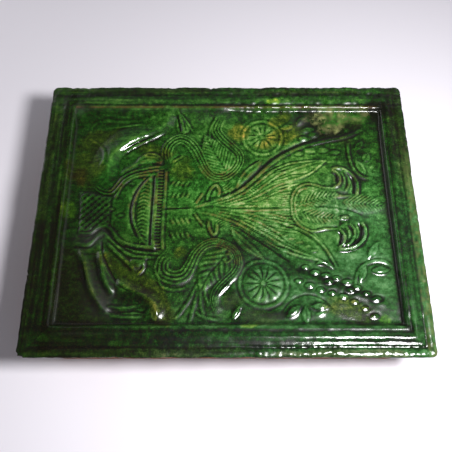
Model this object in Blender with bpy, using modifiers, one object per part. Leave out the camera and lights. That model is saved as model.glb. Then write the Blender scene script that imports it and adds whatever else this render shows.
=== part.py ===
"""A moulded stove tile: a front plate with a vase of flowers in low relief, its moulded frame,
and the plain collar on the back that keys it into the stove. One body of fired clay.

The tile lies on the rim of its collar with its face up. Its long side runs along X, the vase's
foot at -X and the flowers growing towards +X. The drawing is in millimetres, measured from the
middle of the face, and Blender gets metres.
"""

import math

import bmesh
import bpy
import numpy as np

MM = 0.001

# The face and its frame
FACE_LENGTH = 270.0
FACE_WIDTH = 208.0
CORNER_RADIUS = 5.0
FRAME_WIDTH = 19.6  # from the tile's edge to the groove round the panel
PANEL_GAP = 0.5  # the width of that groove
GROOVE_DEPTH = 1.0

# Heights over the rim of the collar
FIELD_HEIGHT = 43.6  # the flat ground of the panel
BACK_HEIGHT = 35.6  # the back of the plate

# The collar
COLLAR_SETBACK = 9.0
COLLAR_WALL = 8.0
COLLAR_RADIUS = 12.0
RIM_FLARE = 2.5  # how far the collar's rim turns out
RIM_HEIGHT = 5.0
COLLAR_BITE = 3.0  # how far the collar runs into the plate

# The relief
GRID_STEP = 0.8
PANEL_ROOT = 3.0  # how far the panel's block runs into the plate
RELIEF_TRIANGLES = 8640
FINEST_LINE = 2.4  # drawn ridges and cuts are at least this wide
BOLDNESS = 1.45  # the forms stand this much prouder than the heights drawn below

# The frame's section: (distance in from the edge, height over the panel's ground)
FRAME_SECTION = [
    (0.8, 5.4),
    (4.8, 5.5),
    (6.6, 4.3),
    (7.9, 5.1),
    (10.4, 5.8),
    (12.8, 6.4),
    (14.2, 6.0),
    (15.8, 4.3),
    (16.8, 4.9),
    (18.0, 5.1),
    (19.0, 3.2),
    (FRAME_WIDTH, -GROOVE_DEPTH),
]
EDGE_HEIGHT = 4.8  # the outer edge of the face, where the section starts


def clear_scene():
    for thing in list(bpy.data.objects):
        bpy.data.objects.remove(thing)


def collection(name):
    made = bpy.data.collections.new(name)
    bpy.context.scene.collection.children.link(made)
    return made


def curve_through(points):
    """Close points along a smooth curve through a few drawn ones."""
    drawn = np.array(points, float)
    first = 2 * drawn[0] - drawn[1]
    last = 2 * drawn[-1] - drawn[-2]
    drawn = np.vstack([first, drawn, last])
    t = np.linspace(0, 1, 8, endpoint=False)[:, None]
    runs = []
    for a, b, c, d in zip(drawn, drawn[1:], drawn[2:], drawn[3:]):
        bend = (2 * a - 5 * b + 4 * c - d) * t**2 + (3 * b - a - 3 * c + d) * t**3
        runs.append(b + ((c - a) * t + bend) / 2)
    return np.vstack([*runs, drawn[-2:-1]])


def rounded(off, width):
    """The section of a ridge: 1 on its line, falling to 0 at half its width."""
    return np.clip(1 - (2 * off / width) ** 2, 0, 1)


class Relief:
    """The panel's height over its ground: broad forms, ridges drawn on them, and cuts in them."""

    def __init__(self, x, y):
        self.x = x
        self.y = y
        self.form = np.zeros_like(x)
        self.line = np.zeros_like(x)
        self.cut = np.zeros_like(x)

    def height(self):
        return self.form + self.line - self.cut

    def lift(self, spots, form):
        self.form[spots] = np.maximum(self.form[spots], form)

    def draw(self, spots, line):
        self.line[spots] = np.maximum(self.line[spots], line)

    def sink(self, spots, depth):
        self.cut[spots] = np.maximum(self.cut[spots], depth)

    def along(self, points, reach):
        """The spots within reach of a curve, how far along it they are and how far to its left."""
        path = curve_through(points)
        low = path.min(axis=0) - reach
        high = path.max(axis=0) + reach
        spots = (self.x > low[0]) & (self.x < high[0]) & (self.y > low[1]) & (self.y < high[1])
        x, y = self.x[spots], self.y[spots]
        nearest = np.full(x.shape, np.inf)
        run = np.zeros_like(x)
        off = np.zeros_like(x)
        travelled = 0.0
        for i, (start, end) in enumerate(zip(path, path[1:])):
            length = math.hypot(*(end - start))
            along, across = (end - start) / length
            u = (x - start[0]) * along + (y - start[1]) * across
            v = (y - start[1]) * along - (x - start[0]) * across
            gap = np.hypot(u - np.clip(u, 0, length), v)
            nearer = gap < nearest
            first = -np.inf if i == 0 else 0
            last = np.inf if i == len(path) - 2 else length
            run[nearer] = travelled + np.clip(u, first, last)[nearer]
            off[nearer] = np.copysign(gap, v)[nearer]
            nearest = np.minimum(nearest, gap)
            travelled += length
        return spots, run, off, travelled

    def ridge(self, points, width=FINEST_LINE, height=1.0, taper=0.12):
        """A rounded ridge that thins out over a share of its length at both ends."""
        width = max(width, FINEST_LINE)
        spots, run, off, length = self.along(points, width)
        share = np.sqrt(np.clip(np.minimum(run, length - run) / (taper * length + 1e-9), 0, 1))
        self.draw(spots, height * rounded(off, width) * share)

    def groove(self, points, width=FINEST_LINE, depth=0.8, taper=0.12):
        width = max(width, FINEST_LINE)
        spots, run, off, length = self.along(points, width)
        share = np.clip(np.minimum(run, length - run) / (taper * length + 1e-9), 0, 1)
        self.sink(spots, depth * rounded(off, width) * np.sqrt(share))

    def shoulder(self, points, left, right, height, taper=0.15, crisp=0.35):
        """A soft crest that slopes off further on one side than on the other."""
        spots, run, off, length = self.along(points, max(left, right))
        share = np.clip(np.minimum(run, length - run) / (taper * length), 0, 1)
        slope = np.clip(1 - abs(off) / np.where(off > 0, left, right), 0, 1)
        self.lift(spots, height * ((1 - crisp) * slope + crisp * slope**4) * share * (2 - share))

    def comb(self, points, lines, pitch, height, halves=(1,)):
        """Parallel ridges that run with a curve, closer together where its half width is less."""
        spots, run, off, length = self.along(points, lines * pitch)
        share = run / length
        spread = np.interp(share, np.linspace(0, 1, len(halves)), halves)
        off = off / np.maximum(spread, 0.05)
        ends = np.clip(12 * share, 0, 1) * np.clip(12 * (1 - share), 0, 1)
        inside = (abs(off) < lines * pitch / 2) * ends
        phase = off / pitch + (lines - 1) / 2
        self.draw(spots, height * (0.5 + 0.5 * np.cos(2 * math.pi * phase)) * inside)

    def band(self, points, halves, height=1.6, edge=1.5):
        """A flat form about a spine, with its half widths at even steps along it."""
        spots, run, off, length = self.along(points, max(halves) + 1)
        half = np.interp(run / length, np.linspace(0, 1, len(halves)), halves)
        inward = np.minimum(half - abs(off), np.minimum(run, length - run))
        self.lift(spots, height * np.clip(inward / edge, 0, 1))

    def leaf(self, points, width, height, fullest=0.45, vein=0.0, dome=0.5):
        """A domed leaf about its spine, pointed at both ends, with a groove for its vein."""
        spots, run, off, length = self.along(points, width)
        share = np.clip(run / length, 0, 1)
        half = width / 2 * np.sin(math.pi * share ** (math.log(0.5) / math.log(fullest)))
        inside = np.clip(1 - (off / np.maximum(half, 0.01)) ** 2, 0, 1)
        self.lift(spots, height * inside**dome)
        if vein:
            self.sink(spots, vein * np.exp(-((off / 0.9) ** 2)) * np.clip(3 * inside, 0, 1))

    def bead(self, x, y, radius, height, longer=1.4):
        """A low bump, drawn out along X."""
        apart = np.hypot((self.x - x) / longer, self.y - y) / radius
        self.lift(apart < 1, height * (1 - apart[apart < 1] ** 2))

    def beads(self, points, count, radius, height):
        """Berries at even steps along a curve."""
        path = curve_through(points)
        steps = np.hypot(*np.diff(path, axis=0).T)
        run = np.append(0, np.cumsum(steps))
        for place in np.linspace(0, run[-1], count):
            self.bead(
                np.interp(place, run, path[:, 0]),
                np.interp(place, run, path[:, 1]),
                radius,
                height,
            )

    def rosette(self, x, y, radius, petals, ring):
        """A round flower: petals about a button, inside a raised ring."""
        apart = np.hypot(self.x - x, self.y - y)
        turn = np.arctan2(self.y - y, self.x - x)
        spots = apart < ring + FINEST_LINE / 2
        apart, turn = apart[spots], turn[spots]
        lobe = abs(np.cos(petals * turn / 2)) ** 0.45
        dome = np.clip(1 - (2 * apart / radius - 1.15) ** 2, 0, 1) * (0.2 + 0.8 * lobe)
        flower = 1.0 * dome * (apart < radius)
        button = 0.9 * np.sqrt(np.clip(1 - (apart / 2.4) ** 2, 0, 1))
        rim = 0.7 * rounded(apart - ring, FINEST_LINE)
        self.lift(spots, np.maximum(np.maximum(flower, button), rim))


def carve_vase(relief):
    relief.band([(-106, -0.7), (-83, 0.8)], [16.5, 15.5, 12.5, 11.5], 0.7)
    relief.band([(-84, 2.3), (-46, 2.3)], [14, 25, 28.5, 31, 32.5, 33], 0.8, edge=2.5)
    lattice = (relief.x > -105) & (relief.x < -84) & (abs(relief.y + 0.2) < 16.2 - 0.23 * (relief.x + 105))
    for slope, height in ((1, 0.35), (-1, 1.0)):
        wave = 0.5 + 0.5 * np.cos(2 * math.pi * (relief.x + 95 + slope * relief.y) / 5.8)
        relief.draw(lattice, height * wave[lattice] ** 2)
        relief.sink(lattice, 0.6 * height * (1 - wave[lattice]) ** 2)
    relief.comb(
        [
            (-97, 21), (-93, 17.5), (-88, 15.5), (-83, 16.5), (-79, 22), (-74.5, 27.5), (-68, 31),
            (-58, 33.5), (-47, 34.8),
        ],
        lines=2,
        pitch=3.0,
        height=1.1,
        halves=[0.7, 0.9, 1, 1],
    )
    relief.ridge([(-81, 10), (-77.5, 19), (-73, 24.5), (-66, 28), (-56, 29.5)], 2.0, 0.9)
    relief.ridge(
        [
            (-105, -16.5), (-97, -16.6), (-92, -13), (-86, -11.5), (-81, -15), (-77, -20.5),
            (-71, -24.5), (-62, -26.5), (-53, -27.5),
        ],
        width=2.2,
        height=1.2,
    )
    relief.groove(
        [(-88, -14), (-84, -16.2), (-80, -21), (-74, -26), (-66, -28), (-56, -29.3), (-48, -30)],
        width=2.2,
        depth=1.4,
    )
    relief.ridge([(-81, -19), (-75, -24.5), (-66, -29.5), (-56, -31.5), (-46, -32)], 2.0, 0.9)
    relief.ridge([(-107, -24.5), (-97, -25), (-92, -20), (-88, -16.5)], 3.2, 0.9)
    relief.groove([(-108, -27), (-97, -27.3), (-92.5, -22.8), (-89, -18.4)], 2.2, 1.1)
    relief.groove([(-106, -19), (-98, -19), (-93, -15.5)], 1.5, 0.6)
    relief.ridge(
        [(-55, 28), (-61, 21), (-65, 13), (-67, 4), (-67, -3), (-65, -11), (-61, -19), (-56, -25)],
        width=2.0,
        height=1.3,
    )
    relief.groove(
        [(-57, 28), (-63, 20.8), (-67, 13), (-69, 4), (-69, -3), (-67, -11), (-62.6, -20)],
        width=2.4,
        depth=1.3,
    )
    relief.groove([(-53.8, 29), (-53.8, -26)], 2.4, 1.6, taper=0.02)
    for y in np.arange(-28.5, 33, 2.45):
        relief.groove([(-50.4, y), (-46.6, y)], 1.9, 1.6, taper=0.02)
    relief.ridge([(-45, 33), (-45, -29)], 2.2, 0.8, taper=0.02)
    for x, y in [(-76, -3), (-83.5, 2), (-69.5, 22)]:
        relief.bead(x, y, 1.4, 1.6)


def carve_handles(relief):
    relief.shoulder(
        [
            (-87, 17), (-87.5, 30), (-86.5, 40), (-83.5, 48), (-78, 54.5), (-70, 60), (-61, 64),
            (-52, 67.5), (-46, 71), (-44, 77), (-45, 86),
        ],
        left=14,
        right=6.8,
        height=4.0,
        taper=0.55,
        crisp=0,
    )
    relief.groove([(-81, 46.6), (-76, 51.8), (-69, 56.4), (-61, 60.4)], 1.5, 0.8, taper=0.3)
    relief.ridge([(-63, 57.8), (-55, 61.6), (-48, 65.4)], 1.8, 0.6, taper=0.3)
    relief.shoulder([(-79, 29), (-75, 33), (-68, 37.5), (-62, 43), (-57, 47)], 3, 3, 1.3)
    relief.leaf([(-67, 39), (-60, 43), (-53, 42), (-48, 38)], 9, 1.4, vein=0.5)
    relief.ridge([(-48, 38), (-49, 43), (-53, 46.5), (-59, 47.5)], 2.0, 0.8)
    relief.ridge(
        [(-103, 60), (-103.5, 68), (-100, 74), (-92, 75.5), (-76, 75), (-62, 76), (-52, 79.5)],
        width=2.4,
        height=0.35,
    )
    relief.ridge([(-90, 70), (-76, 71.5), (-64, 72.5)], 1.8, 0.5)
    relief.ridge([(-94, 36), (-91, 42), (-92, 50), (-97, 56), (-103, 60)], 2.4, 0.25)
    relief.shoulder(
        [(-104, -27), (-99, -37), (-96, -46), (-93, -55), (-89, -63), (-84, -70), (-77, -76)],
        left=8,
        right=4,
        height=2.8,
        taper=0.12,
    )
    relief.shoulder(
        [(-89, -30), (-86.5, -40), (-84, -48.5), (-80.5, -56), (-76, -62)],
        left=7,
        right=4,
        height=2.6,
        taper=0.2,
    )
    relief.ridge([(-103, -30), (-97, -40), (-94, -50), (-91, -60), (-84, -70)], 6.0, 1.0, taper=0.2)
    relief.ridge([(-86, -46), (-82, -54), (-77, -62)], 6.0, 1.0, taper=0.3)
    relief.groove([(-88, -22), (-86.5, -32), (-84, -38), (-79, -47), (-73, -55), (-64, -60)], 2.2, 0.9)
    relief.shoulder(
        [(-76, -52), (-68, -57), (-58, -61.5), (-51, -66), (-47, -72), (-46, -80)],
        left=6,
        right=9,
        height=3.2,
    )
    relief.groove([(-80, -72.4), (-72, -73.4), (-62, -72.5), (-54, -74)], 1.6, 0.9)
    relief.ridge([(-80, -69.5), (-70, -70.5), (-60, -69.5)], 2.0, 0.7)
    relief.ridge([(-78, -75.5), (-68, -76.5), (-56, -76.5)], 2.2, 0.7)
    relief.ridge([(-49.5, -74), (-48.5, -78), (-46, -79.5)], 1.8, 1.0)
    relief.ridge([(-84, -19), (-76, -27), (-68, -32.5), (-60, -34.5), (-50, -34)], 2.4, 0.9)
    relief.ridge([(-84, -24), (-76, -32), (-69, -38), (-63, -44)], 3.0, 1.0)
    relief.leaf([(-67, -37), (-61, -39), (-56, -36)], 7, 1.5, vein=0.5)
    relief.ridge([(-61, -47), (-57.5, -43.5), (-57, -38)], 2.0, 1.0)


def carve_marks(relief):
    """Short strokes in rows on both sides of the stem."""
    for x, y, lean in [(-34, 22.5, 1.4), (-33, 13, 1.0), (-33, -7.5, -1.2), (-33, -18, -1.0)]:
        for shift in (-5.4, -1.8, 1.8, 5.4):
            relief.ridge(
                [(x + shift - lean, y - 2.4), (x + shift + lean, y + 2.4)],
                width=1.8,
                height=0.7,
                taper=0.3,
            )


def carve_sheaf(relief):
    """The leaves and stems that spring from one knot, with berries along the outer stems."""
    upper_stem = [
        (-23, 3), (-10, 7.5), (0, 11), (8, 15.5), (15, 21), (22, 27.5), (29, 34.5), (36, 41), (44, 47),
        (54, 52), (70, 57.2), (88, 61.5), (104, 69),
    ]
    lower_stem = [
        (-22, 0), (-10, -4), (0, -8.5), (8, -16), (16, -22), (24, -27), (32, -33), (40, -39.5),
        (48, -45.5), (58, -50), (70, -54.5), (84, -59), (96, -63.5), (108, -69),
    ]
    relief.band([(-22, 2), (10, 2.5), (48, 3)], [2, 12, 17, 24, 32, 38], 0.6, edge=5.0)
    relief.leaf([(-10, 5), (24, 17), (50, 31), (75, 42)], 16, 0.9, fullest=0.62)
    relief.leaf([(-10, -1), (24, -9), (50, -24), (74, -43)], 18, 0.9, fullest=0.62)
    relief.ridge(upper_stem, 2.6, 1.1, taper=0.06)
    relief.groove(
        [
            (-12, 10.5), (-2, 13), (8, 18.5), (18, 27.5), (27, 36.5), (36, 45), (46, 51.5), (58, 57),
            (70, 60.5),
        ],
        width=3.4,
        depth=1.5,
        taper=0.15,
    )
    relief.shoulder(lower_stem, 3.0, 3.0, 1.2, taper=0.06)
    relief.groove([(2, -7), (12, -15), (24, -23.5), (34, -31), (44, -38.5)], 1.8, 0.8)
    relief.ridge(
        [(-20, 3.6), (-6, 6.5), (6, 11), (18, 19), (28, 27.5), (37, 35), (46, 39), (58, 40.8), (74, 42)],
        width=1.7,
        height=0.9,
    )
    relief.ridge(
        [(-12, 4.4), (2, 6.6), (16, 12.5), (30, 22.5), (42, 31.5), (54, 36), (74, 42)],
        width=1.7,
        height=0.8,
    )
    relief.ridge(
        [(-6, 3.6), (10, 7), (26, 14), (40, 22), (52, 26.5), (61, 30.5), (68, 36), (74, 42)],
        width=1.7,
        height=0.8,
    )
    relief.ridge([(6, 5), (20, 8), (34, 14), (46, 20), (54, 23.5)], 1.5, 0.6)
    relief.groove([(44, 29.5), (54, 30.2), (60, 31), (66, 35)], 1.6, 0.8)
    relief.groove([(38, 32.5), (48, 34.5), (58, 37.2), (68, 39.6)], 1.4, 0.6)
    relief.groove([(10, 5), (24, 9.5), (36, 15.6), (48, 22)], 1.3, 0.5)
    relief.ridge(
        [
            (-20, -0.5), (-6, -3.6), (8, -9.5), (20, -17), (30, -24), (40, -30), (52, -34.5),
            (64, -37.5), (74, -43.5),
        ],
        width=1.7,
        height=0.9,
    )
    relief.ridge(
        [(-10, -1), (4, -4.6), (16, -10.5), (28, -18), (38, -25), (50, -31), (62, -36)],
        width=1.7,
        height=0.8,
    )
    relief.ridge([(-6, 0), (10, -3.2), (22, -8), (32, -13.5), (40, -18.5)], 1.6, 0.8)
    relief.ridge(
        [
            (2, 0), (16, -1.8), (30, -6.4), (42, -9.8), (52, -13.5), (61, -19), (68, -27), (73, -36),
            (76, -43),
        ],
        width=1.8,
        height=0.9,
    )
    relief.ridge([(24, -1), (38, -3.6), (50, -10), (60, -15.5), (68, -24)], 1.4, 0.5)
    for points in [
        [(0, -6.5), (14, -14), (28, -23), (40, -30.5)],
        [(4, -2.4), (18, -6.8), (32, -15), (44, -24.5), (56, -31.5)],
        [(10, -1), (26, -4.6), (42, -11.4), (54, -17), (63, -24)],
    ]:
        relief.groove(points, 1.3, 0.6)
    for x, y in [(41, -18.5), (46, -21.2), (51.5, -24), (56.5, -27.4), (61, -30.3), (65, -39)]:
        relief.leaf([(x - 3, y - 0.4), (x, y), (x + 3, y + 0.3)], 2.6, 2.0, dome=0.8)
    relief.groove([(-4, 2.7), (24, 2.6), (46, 3)], 1.5, 0.8)
    relief.ridge([(2, 0.6), (24, 0.6), (46, 1.4)], 1.6, 0.8)
    relief.groove([(-46, 2.4), (-36, 2.4), (-25, 2.6)], 1.7, 1.0)
    relief.ridge([(-14, 8), (-12.6, 15), (-10, 20), (-7.4, 21), (-5.4, 17), (-6, 11)], 2.2, 1.1)
    relief.ridge([(-22, 6), (-19, 11), (-16.5, 15)], 2.0, 1.0)
    relief.ridge([(-4, 9), (1, 13), (3, 17)], 2.0, 0.8)
    relief.ridge([(-13, -7), (-12.5, -13), (-10, -17.6), (-7.4, -16), (-6.8, -9)], 2.2, 1.1)
    relief.ridge([(-23, -1), (-20, -6), (-16, -11.5)], 1.8, 0.9)
    relief.leaf([(7, 18), (12, 26), (18, 33), (27, 41.5)], 8.5, 1.6, vein=0.7)
    relief.ridge([(8.5, 22), (12, 29.5), (19, 37), (26, 42)], 1.6, 0.8)
    relief.leaf([(3, -12), (8, -20), (16, -28), (27, -37)], 7.5, 1.4, vein=0.7)
    relief.beads([(54, -42), (61, -46), (68, -48), (82, -52.5), (101, -64)], 8, 2.3, 1.1)
    relief.beads([(49, -51.5), (63, -57.5), (77, -61.5), (91, -69), (98, -76)], 8, 2.3, 1.1)
    relief.bead(69.5, -52.3, 2.0, 1.0)
    relief.bead(84, -58, 2.0, 1.0)
    relief.beads([(54, 48), (61, 50), (68, 51), (81, 48.5)], 4, 2.4, 0.7)
    relief.beads([(58, 61), (66, 64), (75, 66.5), (84, 68)], 4, 2.4, 0.7)


def carve_tulips(relief):
    """The two large flowers on curling stalks, one on each side of the stem."""
    upper = [
        (-42.5, 39), (-44.5, 47), (-42.5, 55), (-36, 60), (-29, 58), (-23.5, 51), (-19.5, 42),
        (-15.5, 34), (-9.5, 28.5), (-2, 28), (5, 33), (9, 40), (8.5, 47), (2.5, 54), (-4, 60.5),
        (-8, 68), (-5, 77),
    ]
    relief.band(upper, [5.2, 5.4, 5.4, 5.0, 4.8, 4.6, 4.2, 4.4, 4.8, 4.8, 4.2], 0.5, edge=3.5)
    relief.comb(upper, 3, 3.8, 1.0, [0.8, 0.85, 0.82, 0.8, 0.75, 0.72, 0.7, 0.72, 0.8, 0.85, 0.7])
    relief.leaf([(1, 31), (-5, 41), (-11, 51), (-17, 64)], 25, 1.3, fullest=0.36, vein=0.7)
    relief.ridge([(-13, 58), (-12.5, 69), (-7, 79)], 1.8, 0.8)
    relief.leaf([(-31, 65), (-33.5, 73), (-38, 84)], 11, 1.2, fullest=0.3)
    relief.ridge([(-37, 83), (-34.2, 76), (-33, 70), (-32, 66)], 1.8, 1.1)
    relief.groove([(-37.6, 80), (-36, 73), (-34.6, 66)], 2.2, 1.4)
    relief.ridge([(-34.5, 80), (-29, 73), (-25.5, 66)], 1.6, 0.7)
    relief.ridge([(-40, 40), (-36.5, 43), (-32, 45.5)], 1.8, 0.8)

    lower = [
        (-40, -33), (-44.5, -38), (-44, -45.5), (-37, -49.5), (-29.5, -47.5), (-25, -40), (-21.5, -32),
        (-16, -26), (-8, -23.5), (0, -26), (6, -31.5), (7.8, -39.5), (4.5, -46.5), (-2, -53),
        (-7.5, -60), (-8.5, -67), (-4.5, -74),
    ]
    relief.band(lower, [5.4, 6.0, 6.2, 5.4, 4.4, 4.0, 4.0, 4.2, 4.2, 4.0, 3.6], 0.5, edge=3.5)
    relief.comb(lower, 3, 3.8, 1.0, [0.9, 1.0, 1.0, 0.85, 0.68, 0.62, 0.62, 0.66, 0.66, 0.64, 0.55])
    relief.ridge(
        [
            (-28.5, -43), (-24, -34), (-18.5, -26), (-10, -21.8), (-2, -23), (5, -27.5), (9.5, -36),
            (8, -45), (1, -53.5), (-6, -61), (-6.5, -68), (-3, -73.5),
        ],
        width=2.0,
        height=0.4,
    )
    relief.leaf([(1, -28), (-5, -38), (-12, -47), (-18, -60)], 23, 0.8, fullest=0.36, vein=0.9)
    relief.ridge([(-3, -35), (-0.5, -38.5), (3, -36), (1.5, -32.5), (-2, -33), (-3, -35)], 1.8, 1.0)
    for bend, tip in [((-24, -62), (-34, -78)), ((-21, -64), (-25, -81)), ((-18, -66), (-14, -80))]:
        relief.ridge([(-18, -49), bend, tip], 2.2, 0.5)
    relief.ridge([(-21, -73), (-16, -76.5), (-6, -79)], 2.2, 0.7)
    relief.ridge([(-14, -50), (-15, -60), (-12, -70)], 2.2, 0.5)
    relief.ridge([(-47, -44), (-45, -54), (-38, -58), (-28, -57)], 2.0, 0.6)


def carve_crown(relief):
    """The flower at the top of the stem: its bud, the two curled petals and the leaf at its tip."""
    relief.band([(46, 3.5), (81, 3.5)], [10, 17, 18.2, 17.4, 16.5, 16.5], 0.9, edge=2.0)
    relief.ridge(
        [
            (80, 19.4), (72, 19.4), (66, 21.3), (60, 22.3), (54, 20.8), (49, 16), (46.8, 10), (46.5, 3),
            (47, -3), (49.5, -8), (54, -12.6), (61, -14.8), (70, -13.4), (79, -13.6),
        ],
        width=1.8,
        height=1.2,
    )
    relief.ridge([(60, 19), (54, 17.5), (50.5, 13), (49, 6), (49, 0), (51, -6), (55, -10)], 1.6, 0.8)
    relief.leaf([(50, 5), (66, 10.5), (84, 13.5)], 13, 0.8, vein=0.5)
    relief.leaf([(50, 1), (66, -4), (84, -5.5)], 11, 0.8, vein=0.5)
    relief.groove([(57, 3.8), (68, 4.2), (80, 2.8), (90, 0.8), (97, -2.6)], 1.8, 0.6)
    relief.leaf([(84, 8), (98, 6), (115, 3.5)], 16, 0.5, fullest=0.45, vein=0.6)
    relief.bead(84.5, -4.5, 1.6, 2.8)
    relief.band([(78, 26.5), (88, 25)], [9, 10, 10], 0.7)
    relief.band([(79, -20), (89, -17)], [8, 9, 10], 0.7)
    for points, width, height in [
        ([(77, 34.5), (83, 35.5), (88.5, 32.5), (93.5, 27), (96, 20), (94.5, 12)], 2.6, 2.2),
        ([(77.5, 34), (81.5, 30.5), (83, 26), (82, 22), (78, 19.5)], 2.2, 2.0),
        ([(86, 33), (89, 28), (89.8, 22), (86.5, 16)], 2.0, 1.3),
        ([(84.5, 31), (86, 27), (86, 22)], 1.6, 1.0),
        ([(78, -28.8), (84, -28.6), (90.5, -26.4), (96, -21.5), (98, -15), (96, -8)], 2.6, 2.6),
        ([(78.5, -28), (82.3, -23.5), (83, -18.5), (80, -14)], 2.2, 2.2),
        ([(87, -9), (90, -13.5), (90, -19), (86.5, -24.5), (82.5, -26.5)], 2.0, 1.4),
        ([(85, -12), (86.6, -16), (86, -21)], 1.6, 1.0),
    ]:
        relief.ridge(points, width, height, taper=0.1)
    relief.groove([(79.8, 32), (80.6, 28), (80.2, 24)], 3.2, 1.6, taper=0.2)
    relief.groove([(80, -15), (80.8, -20), (79.6, -26)], 3.2, 1.6, taper=0.2)
    relief.groove([(91.5, 28), (93.2, 22), (92.4, 14)], 3.0, 1.5)
    relief.groove([(93.5, -9), (95, -15), (92.8, -21), (87, -26)], 3.0, 1.5)
    relief.ridge([(77, 11.5), (84, 12.5), (91, 12.5)], 1.8, 1.1)


def carve_sprigs(relief):
    """Rosettes, and small leaves on arching stalks, in the corners of the panel."""
    relief.rosette(26.5, 60.5, 12.6, 11, 14.4)
    relief.rosette(26, -55.5, 13.2, 10, 15.6)
    for x, y, length, width, turn, height in [
        (102, -29.5, 14, 5.5, 58, 1.2),
        (105.5, -43.8, 13, 5.6, 2, 1.5),
        (93, -46.5, 13, 5, 66, 1.2),
        (99, 35.5, 15, 6.4, 116, 1.2),
        (104.5, 44, 9, 6.5, 60, 1.2),
        (99.5, 54, 12, 5, 52, 1.0),
        (44.5, -72.5, 13, 5.6, 42, 1.3),
        (53, -75, 13, 6.0, 95, 1.1),
        (62.5, -69.3, 12, 5.0, -4, 1.4),
        (63, -74, 8, 3.0, 14, 1.0),
        (46, 70.5, 11, 5.0, 16, 1.2),
        (56, 75.5, 10, 4.5, 52, 1.2),
        (62, 68, 11, 5.5, 4, 1.2),
    ]:
        dx = length / 2 * math.cos(math.radians(turn))
        dy = length / 2 * math.sin(math.radians(turn))
        relief.leaf([(x - dx, y - dy), (x, y), (x + dx, y + dy)], width, height, fullest=0.5, vein=0.5)
    relief.ridge(
        [(87, -56), (88.5, -49), (92, -42.5), (97, -38.8), (103, -37), (109, -38), (113, -41)],
        width=2.2,
        height=0.8,
    )
    relief.ridge([(91.5, 57), (91.3, 48), (92, 40), (94.5, 33), (99, 28), (105, 26.5)], 2.2, 1.1)
    relief.ridge(
        [(36, -74), (41, -67), (47, -62.8), (54, -61), (61, -62.3), (67, -66), (71, -71.5)],
        width=2.4,
        height=0.6,
    )


def make_panel(parts):
    """The relief on its own block, which runs into the plate."""
    length = FACE_LENGTH - 2 * (FRAME_WIDTH + PANEL_GAP)
    width = FACE_WIDTH - 2 * (FRAME_WIDTH + PANEL_GAP)
    mesh_maker = bmesh.new()
    bmesh.ops.create_grid(
        mesh_maker,
        x_segments=round(length / GRID_STEP),
        y_segments=round(width / GRID_STEP),
        size=0.5,
    )
    places = np.array([v.co[:2] for v in mesh_maker.verts]) * (length, width)
    relief = Relief(places[:, 0], places[:, 1])
    carve_vase(relief)
    carve_handles(relief)
    carve_marks(relief)
    carve_sheaf(relief)
    carve_tulips(relief)
    carve_crown(relief)
    carve_sprigs(relief)
    inward = np.minimum(length / 2 - abs(places[:, 0]), width / 2 - abs(places[:, 1]))
    heights = BOLDNESS * relief.height() * np.clip(inward / 2, 0, 1)
    for vert, (x, y), z in zip(mesh_maker.verts, places, heights):
        vert.co = (x * MM, y * MM, (FIELD_HEIGHT + z) * MM)
    fine = new_object("panel", mesh_maker, parts)
    thin = fine.modifiers.new("Fewer faces", "DECIMATE")
    thin.ratio = RELIEF_TRIANGLES / (2 * len(fine.data.polygons))
    panel = applied(fine)

    mesh_maker = bmesh.new()
    mesh_maker.from_mesh(panel.data)
    rim = [e for e in mesh_maker.edges if e.is_boundary]
    walls = bmesh.ops.extrude_edge_only(mesh_maker, edges=rim)["geom"]
    for part in walls:
        if isinstance(part, bmesh.types.BMVert):
            part.co.z = (FIELD_HEIGHT - PANEL_ROOT) * MM
    bmesh.ops.holes_fill(mesh_maker, edges=[e for e in mesh_maker.edges if e.is_boundary])
    bmesh.ops.recalc_face_normals(mesh_maker, faces=mesh_maker.faces)
    mesh_maker.to_mesh(panel.data)
    mesh_maker.free()
    return panel


def new_object(name, mesh_maker, group):
    mesh = bpy.data.meshes.new(name)
    mesh_maker.to_mesh(mesh)
    mesh_maker.free()
    made = bpy.data.objects.new(name, mesh)
    group.objects.link(made)
    return made


def applied(thing):
    """The object with its modifiers worked into its mesh."""
    scene = bpy.context.evaluated_depsgraph_get()
    mesh = bpy.data.meshes.new_from_object(thing.evaluated_get(scene))
    thing.modifiers.clear()
    thing.data = mesh
    return thing


def block(name, length, width, low, high, group):
    mesh_maker = bmesh.new()
    bmesh.ops.create_cube(mesh_maker, size=1.0)
    for vert in mesh_maker.verts:
        vert.co.x *= length * MM
        vert.co.y *= width * MM
        vert.co.z = (high if vert.co.z > 0 else low) * MM
    return new_object(name, mesh_maker, group)


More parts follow.
